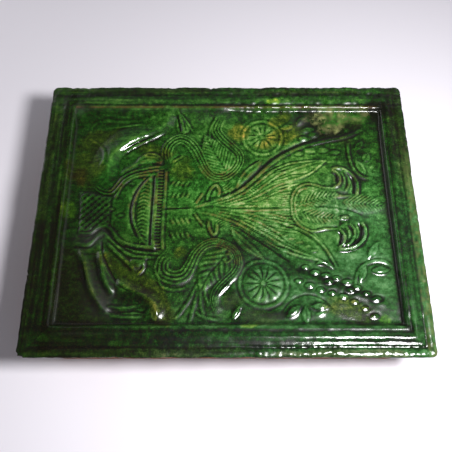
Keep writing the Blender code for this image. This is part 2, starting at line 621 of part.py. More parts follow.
def make_plate(parts, cutters):
    """A slab whose top face is inset step by step along the frame's section."""
    edge = FIELD_HEIGHT + EDGE_HEIGHT
    plate = block("stove_tile", FACE_LENGTH, FACE_WIDTH, BACK_HEIGHT, edge, parts)
    mesh_maker = bmesh.new()
    mesh_maker.from_mesh(plate.data)
    top = max(mesh_maker.faces, key=lambda face: face.calc_center_median().z)
    inset, height = 0.0, EDGE_HEIGHT
    for inward, over_field in FRAME_SECTION:
        bmesh.ops.inset_region(
            mesh_maker,
            faces=[top],
            thickness=(inward - inset) * MM,
            depth=(over_field - height) * MM,
            use_even_offset=True,
        )
        inset, height = inward, over_field
    mesh_maker.to_mesh(plate.data)
    mesh_maker.free()

    rounder = block("corner_rounder", FACE_LENGTH, FACE_WIDTH, 0, 2 * edge, cutters)
    corners = rounder.modifiers.new("Corners", "BEVEL")
    corners.limit_method = "WEIGHT"
    corners.width = CORNER_RADIUS * MM
    corners.segments = 4
    weights = rounder.data.attributes.new("bevel_weight_edge", "FLOAT", "EDGE")
    for edge_drawn in rounder.data.edges:
        a, b = (rounder.data.vertices[i].co for i in edge_drawn.vertices)
        weights.data[edge_drawn.index].value = float(abs(a.z - b.z) > MM)
    rounder.hide_render = True
    rounder.display_type = "WIRE"
    cut = plate.modifiers.new("Rounded corners", "BOOLEAN")
    cut.operation = "INTERSECT"
    cut.object = rounder
    return plate


def rounded_rectangle(length, width, radius, segments=5):
    """Points anticlockwise round a rectangle with round corners."""
    points = []
    for corner, (sx, sy) in enumerate([(1, 1), (-1, 1), (-1, -1), (1, -1)]):
        for i in range(segments + 1):
            turn = math.radians(90 * (corner + i / segments))
            x = sx * (length / 2 - radius) + radius * math.cos(turn)
            y = sy * (width / 2 - radius) + radius * math.sin(turn)
            points.append((x, y))
    return points


def make_collar(parts):
    """The collar's outer wall as an open band with its rim turned out, thickened inwards."""
    top = BACK_HEIGHT + COLLAR_BITE
    mesh_maker = bmesh.new()
    rings = []
    for height, flare in [(0, RIM_FLARE), (RIM_HEIGHT, RIM_FLARE), (RIM_HEIGHT + 4, 0), (top, 0)]:
        outward = 2 * (flare - COLLAR_SETBACK)
        outline = rounded_rectangle(FACE_LENGTH + outward, FACE_WIDTH + outward, COLLAR_RADIUS + flare)
        rings.append([mesh_maker.verts.new((x * MM, y * MM, height * MM)) for x, y in outline])
    for below, above in zip(rings, rings[1:]):
        for i in range(len(below)):
            j = (i + 1) % len(below)
            mesh_maker.faces.new((below[i], below[j], above[j], above[i]))
    collar = new_object("collar", mesh_maker, parts)
    wall = collar.modifiers.new("Wall", "SOLIDIFY")
    wall.thickness = COLLAR_WALL * MM
    wall.offset = -1
    wall.use_even_offset = True
    return applied(collar)


def glaze():
    material = bpy.data.materials.new("Green lead glaze")
    material.use_nodes = True
    shader = material.node_tree.nodes["Principled BSDF"]
    shader.inputs["Base Color"].default_value = (0.012, 0.085, 0.016, 1)
    shader.inputs["Roughness"].default_value = 0.16
    shader.inputs["Metallic"].default_value = 0.0
    return material


def main():
    clear_scene()
    parts = collection("Stove tile")
    cutters = collection("Cutters")
    tile = make_plate(parts, cutters)
    for other in (make_panel(parts), make_collar(parts)):
        join = tile.modifiers.new("Join " + other.name, "BOOLEAN")
        join.operation = "UNION"
        join.object = other
        parts.objects.unlink(other)
        cutters.objects.link(other)
        other.hide_render = True
        other.display_type = "WIRE"
    tile.data.materials.append(glaze())


main()
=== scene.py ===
"""A green-glazed stove tile with a vase of flowers in relief, lying face up on a pale table."""

import math

import bpy
import numpy as np
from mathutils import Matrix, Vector


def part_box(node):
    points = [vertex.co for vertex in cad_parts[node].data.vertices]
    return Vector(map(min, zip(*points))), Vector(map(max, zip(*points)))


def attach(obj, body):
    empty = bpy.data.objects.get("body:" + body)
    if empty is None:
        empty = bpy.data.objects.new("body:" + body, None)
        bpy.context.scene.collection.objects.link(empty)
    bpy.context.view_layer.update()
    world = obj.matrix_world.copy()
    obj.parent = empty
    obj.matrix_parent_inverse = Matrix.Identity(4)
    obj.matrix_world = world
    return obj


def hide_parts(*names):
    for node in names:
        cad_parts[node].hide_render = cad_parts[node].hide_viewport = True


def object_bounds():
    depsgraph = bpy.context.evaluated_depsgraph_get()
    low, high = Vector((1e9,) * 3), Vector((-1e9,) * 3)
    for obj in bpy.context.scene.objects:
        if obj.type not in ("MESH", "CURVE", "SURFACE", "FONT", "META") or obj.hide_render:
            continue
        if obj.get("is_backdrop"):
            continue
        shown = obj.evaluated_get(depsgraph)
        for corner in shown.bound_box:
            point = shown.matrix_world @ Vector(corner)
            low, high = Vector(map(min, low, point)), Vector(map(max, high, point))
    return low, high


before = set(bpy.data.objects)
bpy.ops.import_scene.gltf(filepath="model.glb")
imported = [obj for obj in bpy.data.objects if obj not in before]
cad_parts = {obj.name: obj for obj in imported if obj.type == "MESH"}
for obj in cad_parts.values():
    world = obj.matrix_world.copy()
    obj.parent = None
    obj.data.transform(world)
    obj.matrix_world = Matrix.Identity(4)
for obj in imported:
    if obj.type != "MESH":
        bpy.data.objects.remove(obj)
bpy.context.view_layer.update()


# ---------------------------------------------------------------- the glazed face
# A slab of red earthenware, pressed into a carved wooden mould that gave it its frame and its vase of
# flowers, then dipped in white slip and in green lead glaze. The drawing is in millimetres from the
# middle of the face, +X from the vase's foot to the flowers, with heights over the panel's ground.

MM = 0.001
tile_low, tile_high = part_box("stove_tile")
FACE_LENGTH = (tile_high.x - tile_low.x) / MM
FACE_WIDTH = (tile_high.y - tile_low.y) / MM
FRAME_TOP = 6.4  # the highest roll of the frame
FRAME_WIDTH = 19.6
GROUND = tile_high.z / MM - FRAME_TOP
PLATE_BACK = GROUND - 8.0  # the slab is 8 mm thick under the panel
CORNER_RADIUS = 4.0
GRID_STEP = 0.79  # fine enough for the carving's 2 mm strokes

FRAME_SECTION = [  # distance in from the edge, height
    (0.0, 4.8), (0.7, 5.4), (2.4, 5.7), (4.8, 5.5), (5.9, 5.0), (6.7, 4.3),  # the outer fillet
    (7.4, 4.9), (7.9, 5.2), (8.3, 5.34), (8.8, 5.36), (9.3, 5.3),  # a small bead
    (9.7, 5.42), (10.6, 5.88), (11.4, 6.18), (12.0, 6.34), (12.6, 6.4), (13.2, 6.34),  # the roll
    (14.0, 6.0), (14.9, 5.2), (15.6, 4.4), (16.3, 4.3),  # a channel
    (17.1, 5.1), (18.0, 5.0), (18.7, 4.2), (19.4, 2.2), (20.2, 0.5), (21.0, 0.0),  # the inner lip
]


def rise(value, start, end):
    """From 0 at the start to 1 at the end, and level beyond both."""
    return np.clip((value - start) / (end - start), 0, 1)


def swell(value, middle, width):
    """A soft hump of 1 about a middle."""
    return np.exp(-(((value - middle) / width) ** 2))


def wander(x, y, size, seed, stretch=1.0):
    """Smooth random bumps between -1 and 1, about size across, and drawn out along X."""
    u, v = x / (size * stretch), y / size
    i, j = np.floor(u).astype(int), np.floor(v).astype(int)
    u, v = u - i, v - j
    u, v = u * u * (3 - 2 * u), v * v * (3 - 2 * v)
    table = np.random.default_rng(seed).uniform(-1, 1, (211, 211))
    near = table[j % 211, i % 211] * (1 - u) + table[j % 211, (i + 1) % 211] * u
    far = table[(j + 1) % 211, i % 211] * (1 - u) + table[(j + 1) % 211, (i + 1) % 211] * u
    return near * (1 - v) + far * v


def blurred(values, reach):
    """The values smoothed over a reach in millimetres, along both ways of the grid."""
    cells = max(reach / GRID_STEP, 0.1)
    half = int(3 * cells) + 1
    weights = np.exp(-0.5 * (np.arange(-half, half + 1) / cells) ** 2)
    weights /= weights.sum()
    for axis in (0, 1):
        padded = np.pad(values, [(half, half) if a == axis else (0, 0) for a in (0, 1)], mode="edge")
        values = np.apply_along_axis(np.convolve, axis, padded, weights, mode="valid")
    return values


def curve_through(points):
    """Close points along a smooth curve through a few drawn ones."""
    drawn = np.array(points, float)
    drawn = np.vstack([2 * drawn[0] - drawn[1], drawn, 2 * drawn[-1] - drawn[-2]])
    t = np.linspace(0, 1, 8, endpoint=False)[:, None]
    runs = []
    for a, b, c, d in zip(drawn, drawn[1:], drawn[2:], drawn[3:]):
        bend = (2 * a - 5 * b + 4 * c - d) * t**2 + (3 * b - a - 3 * c + d) * t**3
        runs.append(b + ((c - a) * t + bend) / 2)
    return np.vstack([*runs, drawn[-2:-1]])


def rounded(off, width):
    """The section of a ridge: 1 on its line, falling to 0 at half its width."""
    return np.clip(1 - (2 * off / width) ** 2, 0, 1)


class Relief:
    """The carving's height over the ground: broad forms, ridges drawn on them, and cuts in them."""

    def __init__(self, x, y):
        self.x = x
        self.y = y
        self.form = np.zeros_like(x)
        self.line = np.zeros_like(x)
        self.cut = np.zeros_like(x)
        self.shine = np.zeros_like(x)

    def height(self):
        """The carving's height over the ground."""
        return self.form + self.line - self.cut

    def lift(self, spots, form):
        """A broad form, where it stands over what is there."""
        self.form[spots] = np.maximum(self.form[spots], form)

    def draw(self, spots, line):
        """A ridge on top of the broad forms."""
        self.line[spots] = np.maximum(self.line[spots], line)

    def sink(self, spots, depth):
        """A cut into them."""
        self.cut[spots] = np.maximum(self.cut[spots], depth)

    def along(self, points, reach):
        """The spots within reach of a curve, how far along it they are and how far to its left."""
        path = curve_through(points)
        low = path.min(axis=0) - reach
        high = path.max(axis=0) + reach
        spots = (self.x > low[0]) & (self.x < high[0]) & (self.y > low[1]) & (self.y < high[1])
        x, y = self.x[spots], self.y[spots]
        nearest = np.full(x.shape, np.inf)
        run = np.zeros_like(x)
        off = np.zeros_like(x)
        travelled = 0.0
        for i, (start, end) in enumerate(zip(path, path[1:])):
            length = math.hypot(*(end - start))
            along, across = (end - start) / length
            u = (x - start[0]) * along + (y - start[1]) * across
            v = (y - start[1]) * along - (x - start[0]) * across
            gap = np.hypot(u - np.clip(u, 0, length), v)
            nearer = gap < nearest
            first = -np.inf if i == 0 else 0
            last = np.inf if i == len(path) - 2 else length
            run[nearer] = travelled + np.clip(u, first, last)[nearer]
            off[nearer] = np.copysign(gap, v)[nearer]
            nearest = np.minimum(nearest, gap)
            travelled += length
        return spots, run, off, travelled

    def ridge(self, points, width, height, taper=0.12, moat=0.35):
        """A rounded ridge that thins out at both ends, with a little trench on either side of it."""
        spots, run, off, length = self.along(points, 1.6 * width)
        share = np.sqrt(rise(np.minimum(run, length - run), 0, taper * length + 1e-9))
        self.draw(spots, height * rounded(off, width) * share)
        self.sink(spots, moat * swell(abs(off), 0.8 * width, 0.35 * width) * share)

    def groove(self, points, width, depth, taper=0.12):
        """A rounded cut that gets shallow at both ends."""
        spots, run, off, length = self.along(points, width)
        share = np.sqrt(rise(np.minimum(run, length - run), 0, taper * length + 1e-9))
        self.sink(spots, depth * rounded(off, width) * share)

    def shoulder(self, points, left, right, height, taper=0.15, crisp=0.35):
        """A soft crest that slopes off further on one side than on the other."""
        spots, run, off, length = self.along(points, max(left, right))
        share = rise(np.minimum(run, length - run), 0, taper * length)
        slope = np.clip(1 - abs(off) / np.where(off > 0, left, right), 0, 1)
        self.lift(spots, height * ((1 - crisp) * slope + crisp * slope**4) * share * (2 - share))

    def comb(self, points, lines, pitch, height, halves):
        """Parallel ridges that run with a curve, closer together where its half width is less."""
        spots, run, off, length = self.along(points, lines * pitch)
        share = run / length
        spread = np.interp(share, np.linspace(0, 1, len(halves)), halves)
        off = off / np.maximum(spread, 0.05)
        ends = np.clip(12 * share, 0, 1) * np.clip(12 * (1 - share), 0, 1)
        inside = (abs(off) < lines * pitch / 2) * ends
        phase = off / pitch + (lines - 1) / 2
        wave = 0.5 + 0.5 * np.cos(2 * math.pi * phase)
        self.draw(spots, height * wave * inside)
        self.sink(spots, 0.45 * height * (1 - wave) ** 2 * inside)

    def band(self, points, halves, height, edge=1.5):
        """A flat form about a spine, with its half widths at even steps along it."""
        spots, run, off, length = self.along(points, max(halves) + 1)
        half = np.interp(run / length, np.linspace(0, 1, len(halves)), halves)
        inward = np.minimum(half - abs(off), np.minimum(run, length - run))
        self.lift(spots, height * np.clip(inward / edge, 0, 1))

    def leaf(self, points, width, height, fullest=0.45, vein=0.0, ribs=0.0, pitch=2.4, dome=0.5):
        """A domed leaf about its spine, pointed at both ends, with its vein and side ribs."""
        spots, run, off, length = self.along(points, width)
        share = np.clip(run / length, 0, 1)
        half = width / 2 * np.sin(math.pi * share ** (math.log(0.5) / math.log(fullest)))
        inside = np.clip(1 - (off / np.maximum(half, 0.01)) ** 2, 0, 1)
        self.lift(spots, height * inside**dome)
        if width < 7:
            self.shine[spots] = np.maximum(self.shine[spots], np.clip(2 * inside, 0, 1))
        within = np.clip(3 * inside, 0, 1)
        if vein:
            self.sink(spots, vein * swell(off, 0, 0.8) * within)
        if ribs:
            wave = 0.5 + 0.5 * np.cos(2 * math.pi * (run - 1.1 * abs(off)) / pitch)
            self.draw(spots, ribs * wave * within)
            self.sink(spots, 0.4 * ribs * (1 - wave) * within)

    def fan(self, middle, pitch, angles, radii, depth):
        """Fine cuts that spread from a point, a few degrees apart, with a hand-held waver."""
        u, v = self.x - middle[0], self.y - middle[1]
        reach = np.hypot(u, v)
        turn = np.degrees(np.arctan2(v, u)) + 60 / np.maximum(reach, 9) * wander(self.x, self.y, 7, 71)
        ends = rise(reach - radii[0], 0, 6) * rise(radii[1] - reach, 0, 6)
        sides = rise(turn - angles[0], 0, 3) * rise(angles[1] - turn, 0, 3)
        broken = np.clip(0.75 + 0.8 * wander(self.x, self.y, 5, 72), 0, 1)
        wave = 0.5 + 0.5 * np.cos(2 * math.pi * turn / pitch)
        self.cut += depth * wave**2 * ends * sides * broken

    def bead(self, x, y, radius, height):
        """A low bump, 1.8 times as long as it is wide, in a hollow where glaze pools round it."""
        apart = np.hypot((self.x - x) / 1.8, self.y - y) / radius
        self.lift(apart < 1, height * (1 - apart[apart < 1] ** 2))
        self.shine = np.maximum(self.shine, np.clip(4 - 4 * apart, 0, 1))
        near = apart < 2
        self.sink(near, 0.42 * swell(apart[near], 1.25, 0.3))

    def beads(self, points, count, radius, height):
        """Berries at even steps along a curve."""
        path = curve_through(points)
        steps = np.hypot(*np.diff(path, axis=0).T)
        run = np.append(0, np.cumsum(steps))
        for i, place in enumerate(np.linspace(0, run[-1], count)):
            x, y = np.interp(place, run, path[:, 0]), np.interp(place, run, path[:, 1])
            self.bead(x, y, radius * (0.85, 1.1, 0.95)[i % 3], height)

    def rosette(self, x, y, radius, petals, ring):
        """A round flower: petals about a button, inside a raised ring."""
        apart = np.hypot(self.x - x, self.y - y)
        turn = np.arctan2(self.y - y, self.x - x) + 0.10 * wander(self.x, self.y, 6, 73)
        spots = apart < ring + 3.5
        apart, turn = apart[spots], turn[spots]
        lobe = abs(np.cos(petals * turn / 2)) ** 0.7
        reach = rise(apart, 1.8, 4.3) * rise(radius - apart, 0, 5)
        button = 0.8 * np.sqrt(np.clip(1 - (apart / 1.8) ** 2, 0, 1))
        rim = 0.2 * rounded(apart - ring, 2.0)
        self.lift(spots, np.maximum(np.maximum(0.65 * reach * lobe, button), rim))
        self.sink(spots, 0.6 * reach * (1 - lobe) ** 2)
        self.sink(spots, 0.4 * swell(abs(apart - ring), 1.9, 0.9))


def carve_vase(relief):
    """The vase: its latticed foot, its round belly with a crescent on it, and its notched rim."""
    relief.band([(-106, -0.7), (-83, 0.8)], [16.5, 15.5, 12.5, 11.5], 0.7)
    relief.band([(-84, 2.3), (-46, 2.3)], [14, 25, 28.5, 31, 32.5, 33], 0.8, edge=2.5)
    foot = (relief.x > -105) & (relief.x < -84) & (abs(relief.y + 0.2) < 16.2 - 0.23 * (relief.x + 105))
    for slope, height in [(1, 0.45), (-1, 0.6)]:
        wave = 0.5 + 0.5 * np.cos(2 * math.pi * (relief.x + 95 + slope * relief.y) / 5.2)
        relief.draw(foot, height * wave[foot] ** 2)
        relief.sink(foot, 0.6 * height * (1 - wave[foot]) ** 2)
    # the outlines of the foot and the belly, double on their upper side
    relief.comb([
        (-97, 21), (-93, 17.5), (-88, 15.5), (-83, 16.5), (-79, 22), (-74.5, 27.5), (-68, 31),
        (-58, 33.5), (-47, 34.8),
    ], lines=2, pitch=3.0, height=1.1, halves=[0.7, 0.9, 1, 1])
    for width, height, points in [
        (2.0, 0.9, [(-81, 10), (-77.5, 19), (-73, 24.5), (-66, 28), (-56, 29.5)]),
        (2.2, 1.2, [
            (-105, -16.5), (-97, -16.6), (-92, -13), (-86, -11.5), (-81, -15), (-77, -20.5),
            (-71, -24.5), (-62, -26.5), (-53, -27.5),
        ]),
        (2.0, 0.9, [(-81, -19), (-75, -24.5), (-66, -29.5), (-56, -31.5), (-46, -32)]),
        (3.2, 0.4, [(-107, -24.5), (-97, -25), (-92, -20), (-88, -16.5)]),
    ]:
        relief.ridge(points, width, height)
    for width, depth, points in [
        (2.2, 1.4, [
            (-88, -14), (-84, -16.2), (-80, -21), (-74, -26), (-66, -28), (-56, -29.3), (-48, -30),
        ]),
        (2.2, 0.6, [(-108, -27), (-97, -27.3), (-92.5, -22.8), (-89, -18.4)]),
        (1.5, 0.6, [(-106, -19), (-98, -19), (-93, -15.5)]),
    ]:
        relief.groove(points, width, depth)
    # the crescent and its feathering
    relief.ridge([
        (-55, 28), (-61, 21), (-65, 13), (-67, 4), (-67, -3), (-65, -11), (-61, -19), (-56, -25),
    ], width=2.0, height=1.3, moat=0.2)
    relief.groove([
        (-57, 28), (-63, 20.8), (-67, 13), (-69, 4), (-69, -3), (-67, -11), (-62.6, -20),
    ], width=2.4, depth=1.3)
    for y in np.arange(-24, 28, 2.9):
        feather = [(-64 + 0.006 * y * y, y - 1.2), (-60, y + 1.0), (-56, y - 0.6)]
        relief.ridge(feather, 1.5, 0.55, moat=0.2)
    # the rim, with its row of notches, and three studs
    relief.groove([(-53.8, 29), (-53.8, -26)], 2.4, 1.6, taper=0.02)
    for y in np.arange(-28.5, 33, 2.45):
        relief.groove([(-50.4, y), (-46.6, y)], 1.9, 1.6, taper=0.02)
    relief.ridge([(-45, 33), (-45, -29)], 2.2, 0.8, taper=0.02)
    for x, y in [(-76, -3), (-83.5, 2), (-69.5, 22)]:
        relief.bead(x, y, 1.4, 1.6)


def carve_handles(relief):
    """The vase's two broad handles, which run out to the panel's corners, and the leaves by them."""
    # the far handle, its lower line and the leaf that curls under it
    relief.shoulder([
        (-87, 17), (-87.5, 30), (-86.8, 40), (-83.5, 47.5), (-78.5, 53.2), (-71.5, 58.6), (-63, 63.4),
        (-54, 67.6), (-47.5, 71.6), (-44.5, 77), (-45, 86),
    ], left=14, right=6.8, height=4.0, taper=0.55, crisp=0)
    relief.groove([(-79, 47.8), (-74, 52.2), (-67, 56.8), (-58, 61.6)], 1.8, 0.9, taper=0.3)
    relief.ridge([
        (-76, 48.6), (-69, 53.4), (-60, 58.6), (-53, 62.4), (-47, 66.4),
    ], 2.0, 0.7, taper=0.3, moat=0.1)
    relief.shoulder([(-79, 29), (-75, 33), (-68, 37.5), (-62, 43), (-57, 47)], 3, 3, 1.3)
    relief.leaf([(-67, 39), (-60, 43), (-53, 42), (-48, 38)], 9, 1.4, vein=0.5)
    relief.ridge([(-48, 38), (-49, 43), (-53, 46.5), (-59, 47.5)], 2.0, 0.8)
    # faint lines in the far corner
    relief.ridge([
        (-103, 60), (-103.5, 68), (-100, 74), (-92, 75.5), (-76, 75), (-62, 76), (-52, 79.5),
    ], width=2.4, height=0.3, taper=0.5, moat=0.1)
    relief.ridge([(-90, 70), (-76, 71.5), (-64, 72.5)], 1.8, 0.5, moat=0.1)
    relief.ridge([(-94, 36), (-91, 42), (-92, 50), (-97, 56), (-103, 60)], 2.4, 0.25, moat=0.1)
    # the near handle: two crests with a rib along each, and its scrolled end
    relief.shoulder([
        (-104, -27), (-99, -37), (-96, -46), (-93, -55), (-89, -63), (-84, -70), (-77, -76),
    ], left=8, right=4, height=2.6, taper=0.4)
    relief.shoulder([
        (-89, -30), (-86.5, -40), (-84, -48.5), (-80.5, -56), (-76, -62),
    ], 7, 4, 2.6, taper=0.2)
    relief.ridge([(-103, -30), (-97, -40), (-94, -50), (-91, -60)], 6.0, 0.7, taper=0.3, moat=0)
    relief.ridge([(-86, -46), (-82, -54), (-78, -60)], 5.0, 0.5, taper=0.4, moat=0)
    relief.shoulder([
        (-76, -52), (-68, -57), (-58, -61.5), (-51, -66), (-47, -72), (-46, -80),
    ], 6, 9, 3.2)
    for width, depth, points in [
        (2.2, 0.9, [(-88, -22), (-86.5, -32), (-84, -38), (-79, -47), (-73, -55), (-64, -60)]),
        (1.6, 0.9, [(-80, -72.4), (-72, -73.4), (-62, -72.5), (-54, -74)]),
    ]:
        relief.groove(points, width, depth)
    relief.ridge([(-49.5, -74), (-48.5, -78), (-46, -79.5)], 1.8, 0.6, moat=0.1)
    # small ridges between the near handle and the vase
    for width, height, points in [
        (2.0, 0.7, [(-80, -69.5), (-70, -70.5), (-60, -69.5)]),
        (2.2, 0.7, [(-78, -75.5), (-68, -76.5), (-56, -76.5)]),
        (2.4, 0.9, [(-84, -19), (-76, -27), (-68, -32.5), (-60, -34.5), (-50, -34)]),
        (3.0, 1.0, [(-84, -24), (-76, -32), (-69, -38), (-63, -44)]),
        (2.0, 1.0, [(-61, -47), (-57.5, -43.5), (-57, -38)]),
    ]:
        relief.ridge(points, width, height)
    relief.leaf([(-67, -37), (-61, -39), (-56, -36)], 7, 1.5, vein=0.5)


def carve_marks(relief):
    """Short slanted strokes in rows on both sides of the stem."""
    for x, y, lean in [(-34, 22.5, 1.4), (-33, 13, 1.0), (-33, -7.5, -1.2), (-33, -18, -1.0)]:
        for shift in (-5.4, -1.8, 1.8, 5.4):
            stroke = [(x + shift - lean, y - 2.4), (x + shift + lean, y + 2.4)]
            relief.ridge(stroke, 1.8, 0.7, taper=0.3)


def carve_sheaf(relief):
    """The leaves and stems that spring from one knot, with berries along the outer stems."""
    relief.band([(-22, 2), (10, 2.5), (48, 3)], [2, 12, 17, 24, 32, 38], 0.6, edge=5.0)
    relief.leaf([(-10, 5), (24, 17), (50, 31), (75, 42)], 16, 0.9, fullest=0.62)
    relief.leaf([(-10, -1), (24, -9), (50, -24), (74, -43)], 18, 0.9, fullest=0.62)
    # the two outer stems
    relief.ridge([
        (-23, 3), (-10, 7.5), (0, 11), (8, 15.5), (15, 21), (22, 27.5), (29, 34.5), (36, 41), (44, 47),
        (54, 52), (70, 57.2), (88, 61.5), (104, 69),
    ], width=2.6, height=1.1, taper=0.06)
    relief.groove([
        (-12, 10.5), (-2, 13), (8, 18.5), (18, 27.5), (27, 36.5), (36, 45), (46, 51.5), (58, 57),
        (70, 60.5),
    ], width=3.4, depth=1.5, taper=0.15)
    relief.shoulder([
        (-22, 0), (-10, -4), (0, -8.5), (8, -16), (16, -22), (24, -27), (32, -33), (40, -39.5),
        (48, -45.5), (58, -50), (70, -54.5), (84, -59), (96, -63.5), (108, -69),
    ], left=3.4, right=3.4, height=0.35, taper=0.06)
    # the long leaves' edges and veins, on the stem's far side and then on its near side
    for width, height, points in [
        (1.7, 0.9, [
            (-20, 3.6), (-6, 6.5), (6, 11), (18, 19), (28, 27.5), (37, 35), (46, 39), (58, 40.8),
            (74, 42),
        ]),
        (1.7, 0.8, [(-12, 4.4), (2, 6.6), (16, 12.5), (30, 22.5), (42, 31.5), (54, 36), (74, 42)]),
        (1.7, 0.8, [
            (-6, 3.6), (10, 7), (26, 14), (40, 22), (52, 26.5), (61, 30.5), (68, 36), (74, 42),
        ]),
        (1.5, 0.6, [(6, 5), (20, 8), (34, 14), (46, 20), (54, 23.5)]),
        (1.7, 0.9, [
            (-20, -0.5), (-6, -3.6), (8, -9.5), (20, -17), (30, -24), (40, -30), (52, -34.5),
            (64, -37.5), (74, -43.5),
        ]),
        (1.7, 0.8, [(-10, -1), (4, -4.6), (16, -10.5), (28, -18), (38, -25), (50, -31), (62, -36)]),
        (1.6, 0.8, [(-6, 0), (10, -3.2), (22, -8), (32, -13.5), (40, -18.5)]),
        (1.8, 0.9, [
            (2, 0), (16, -1.8), (30, -6.4), (42, -9.8), (52, -13.5), (61, -19), (68, -27), (73, -36),
            (76, -43),
        ]),
        (1.4, 0.5, [(24, -1), (38, -3.6), (50, -10), (60, -15.5), (68, -24)]),
    ]:
        relief.ridge(points, width, height)
    for width, depth, points in [
        (1.6, 0.8, [(44, 29.5), (54, 30.2), (60, 31), (66, 35)]),
        (1.4, 0.6, [(38, 32.5), (48, 34.5), (58, 37.2), (68, 39.6)]),
        (1.3, 0.5, [(10, 5), (24, 9.5), (36, 15.6), (48, 22)]),
        (1.8, 0.8, [(2, -7), (12, -15), (24, -23.5), (34, -31), (44, -38.5)]),
        (1.3, 0.6, [(0, -6.5), (14, -14), (28, -23), (40, -30.5)]),
        (1.3, 0.6, [(4, -2.4), (18, -6.8), (32, -15), (44, -24.5), (56, -31.5)]),
        (1.3, 0.6, [(10, -1), (26, -4.6), (42, -11.4), (54, -17), (63, -24)]),
    ]:
        relief.groove(points, width, depth)
    relief.fan((-24, 2.5), pitch=3.4, angles=(-38, 44), radii=(16, 46), depth=0.8)
    relief.fan((-24, 2.5), pitch=1.7, angles=(-30, 32), radii=(38, 80), depth=0.8)
    # seeds in the near leaf
    for x, y in [(41, -18.5), (46, -21.2), (51.5, -24), (56.5, -27.4), (61, -30.3), (65, -39)]:
        relief.leaf([(x - 3, y - 0.4), (x, y), (x + 3, y + 0.3)], 2.6, 2.0, dome=0.8)
    # the middle stem and the knot's curls
    relief.groove([(-4, 2.7), (24, 2.6), (46, 3)], 1.5, 0.8)
    relief.ridge([(2, 0.6), (24, 0.6), (46, 1.4)], 1.6, 0.8)
    relief.groove([(-46, 2.4), (-36, 2.4), (-25, 2.6)], 1.7, 1.0)
    for width, height, moat, points in [
        (2.2, 1.1, 0.6, [(-14, 8), (-12.6, 15), (-10, 20), (-7.4, 21), (-5.4, 17), (-6, 11)]),
        (2.0, 1.0, 0.5, [(-22, 6), (-19, 11), (-16.5, 15)]),
        (2.0, 0.8, 0.5, [(-4, 9), (1, 13), (3, 17)]),
        (2.2, 1.1, 0.6, [(-13, -7), (-12.5, -13), (-10, -17.6), (-7.4, -16), (-6.8, -9)]),
        (1.8, 0.9, 0.5, [(-23, -1), (-20, -6), (-16, -11.5)]),
        (1.6, 0.8, 0.7, [(8.5, 22), (12, 29.5), (19, 37), (26, 42)]),
    ]:
        relief.ridge(points, width, height, moat=moat)
    relief.leaf([(7, 18), (12, 26), (18, 33), (27, 41.5)], 8.5, 1.6, vein=0.7)
    relief.leaf([(3, -12), (8, -20), (16, -28), (27, -37)], 7.5, 1.4, vein=0.7)
    # the berries
    relief.beads([(54, -42), (61, -46), (68, -48), (82, -52.5), (101, -64)], 8, 1.7, 0.75)
    relief.beads([(49, -51.5), (63, -57.5), (77, -61.5), (91, -69), (98, -76)], 8, 1.6, 0.7)
    relief.bead(69.5, -52.3, 1.8, 1.0)
    relief.bead(84, -58, 1.8, 1.0)
    relief.beads([(54, 48), (61, 50), (68, 51), (81, 48.5)], 4, 2.4, 0.7)
    relief.beads([(58, 61), (66, 64), (75, 66.5), (84, 68)], 4, 2.4, 0.7)


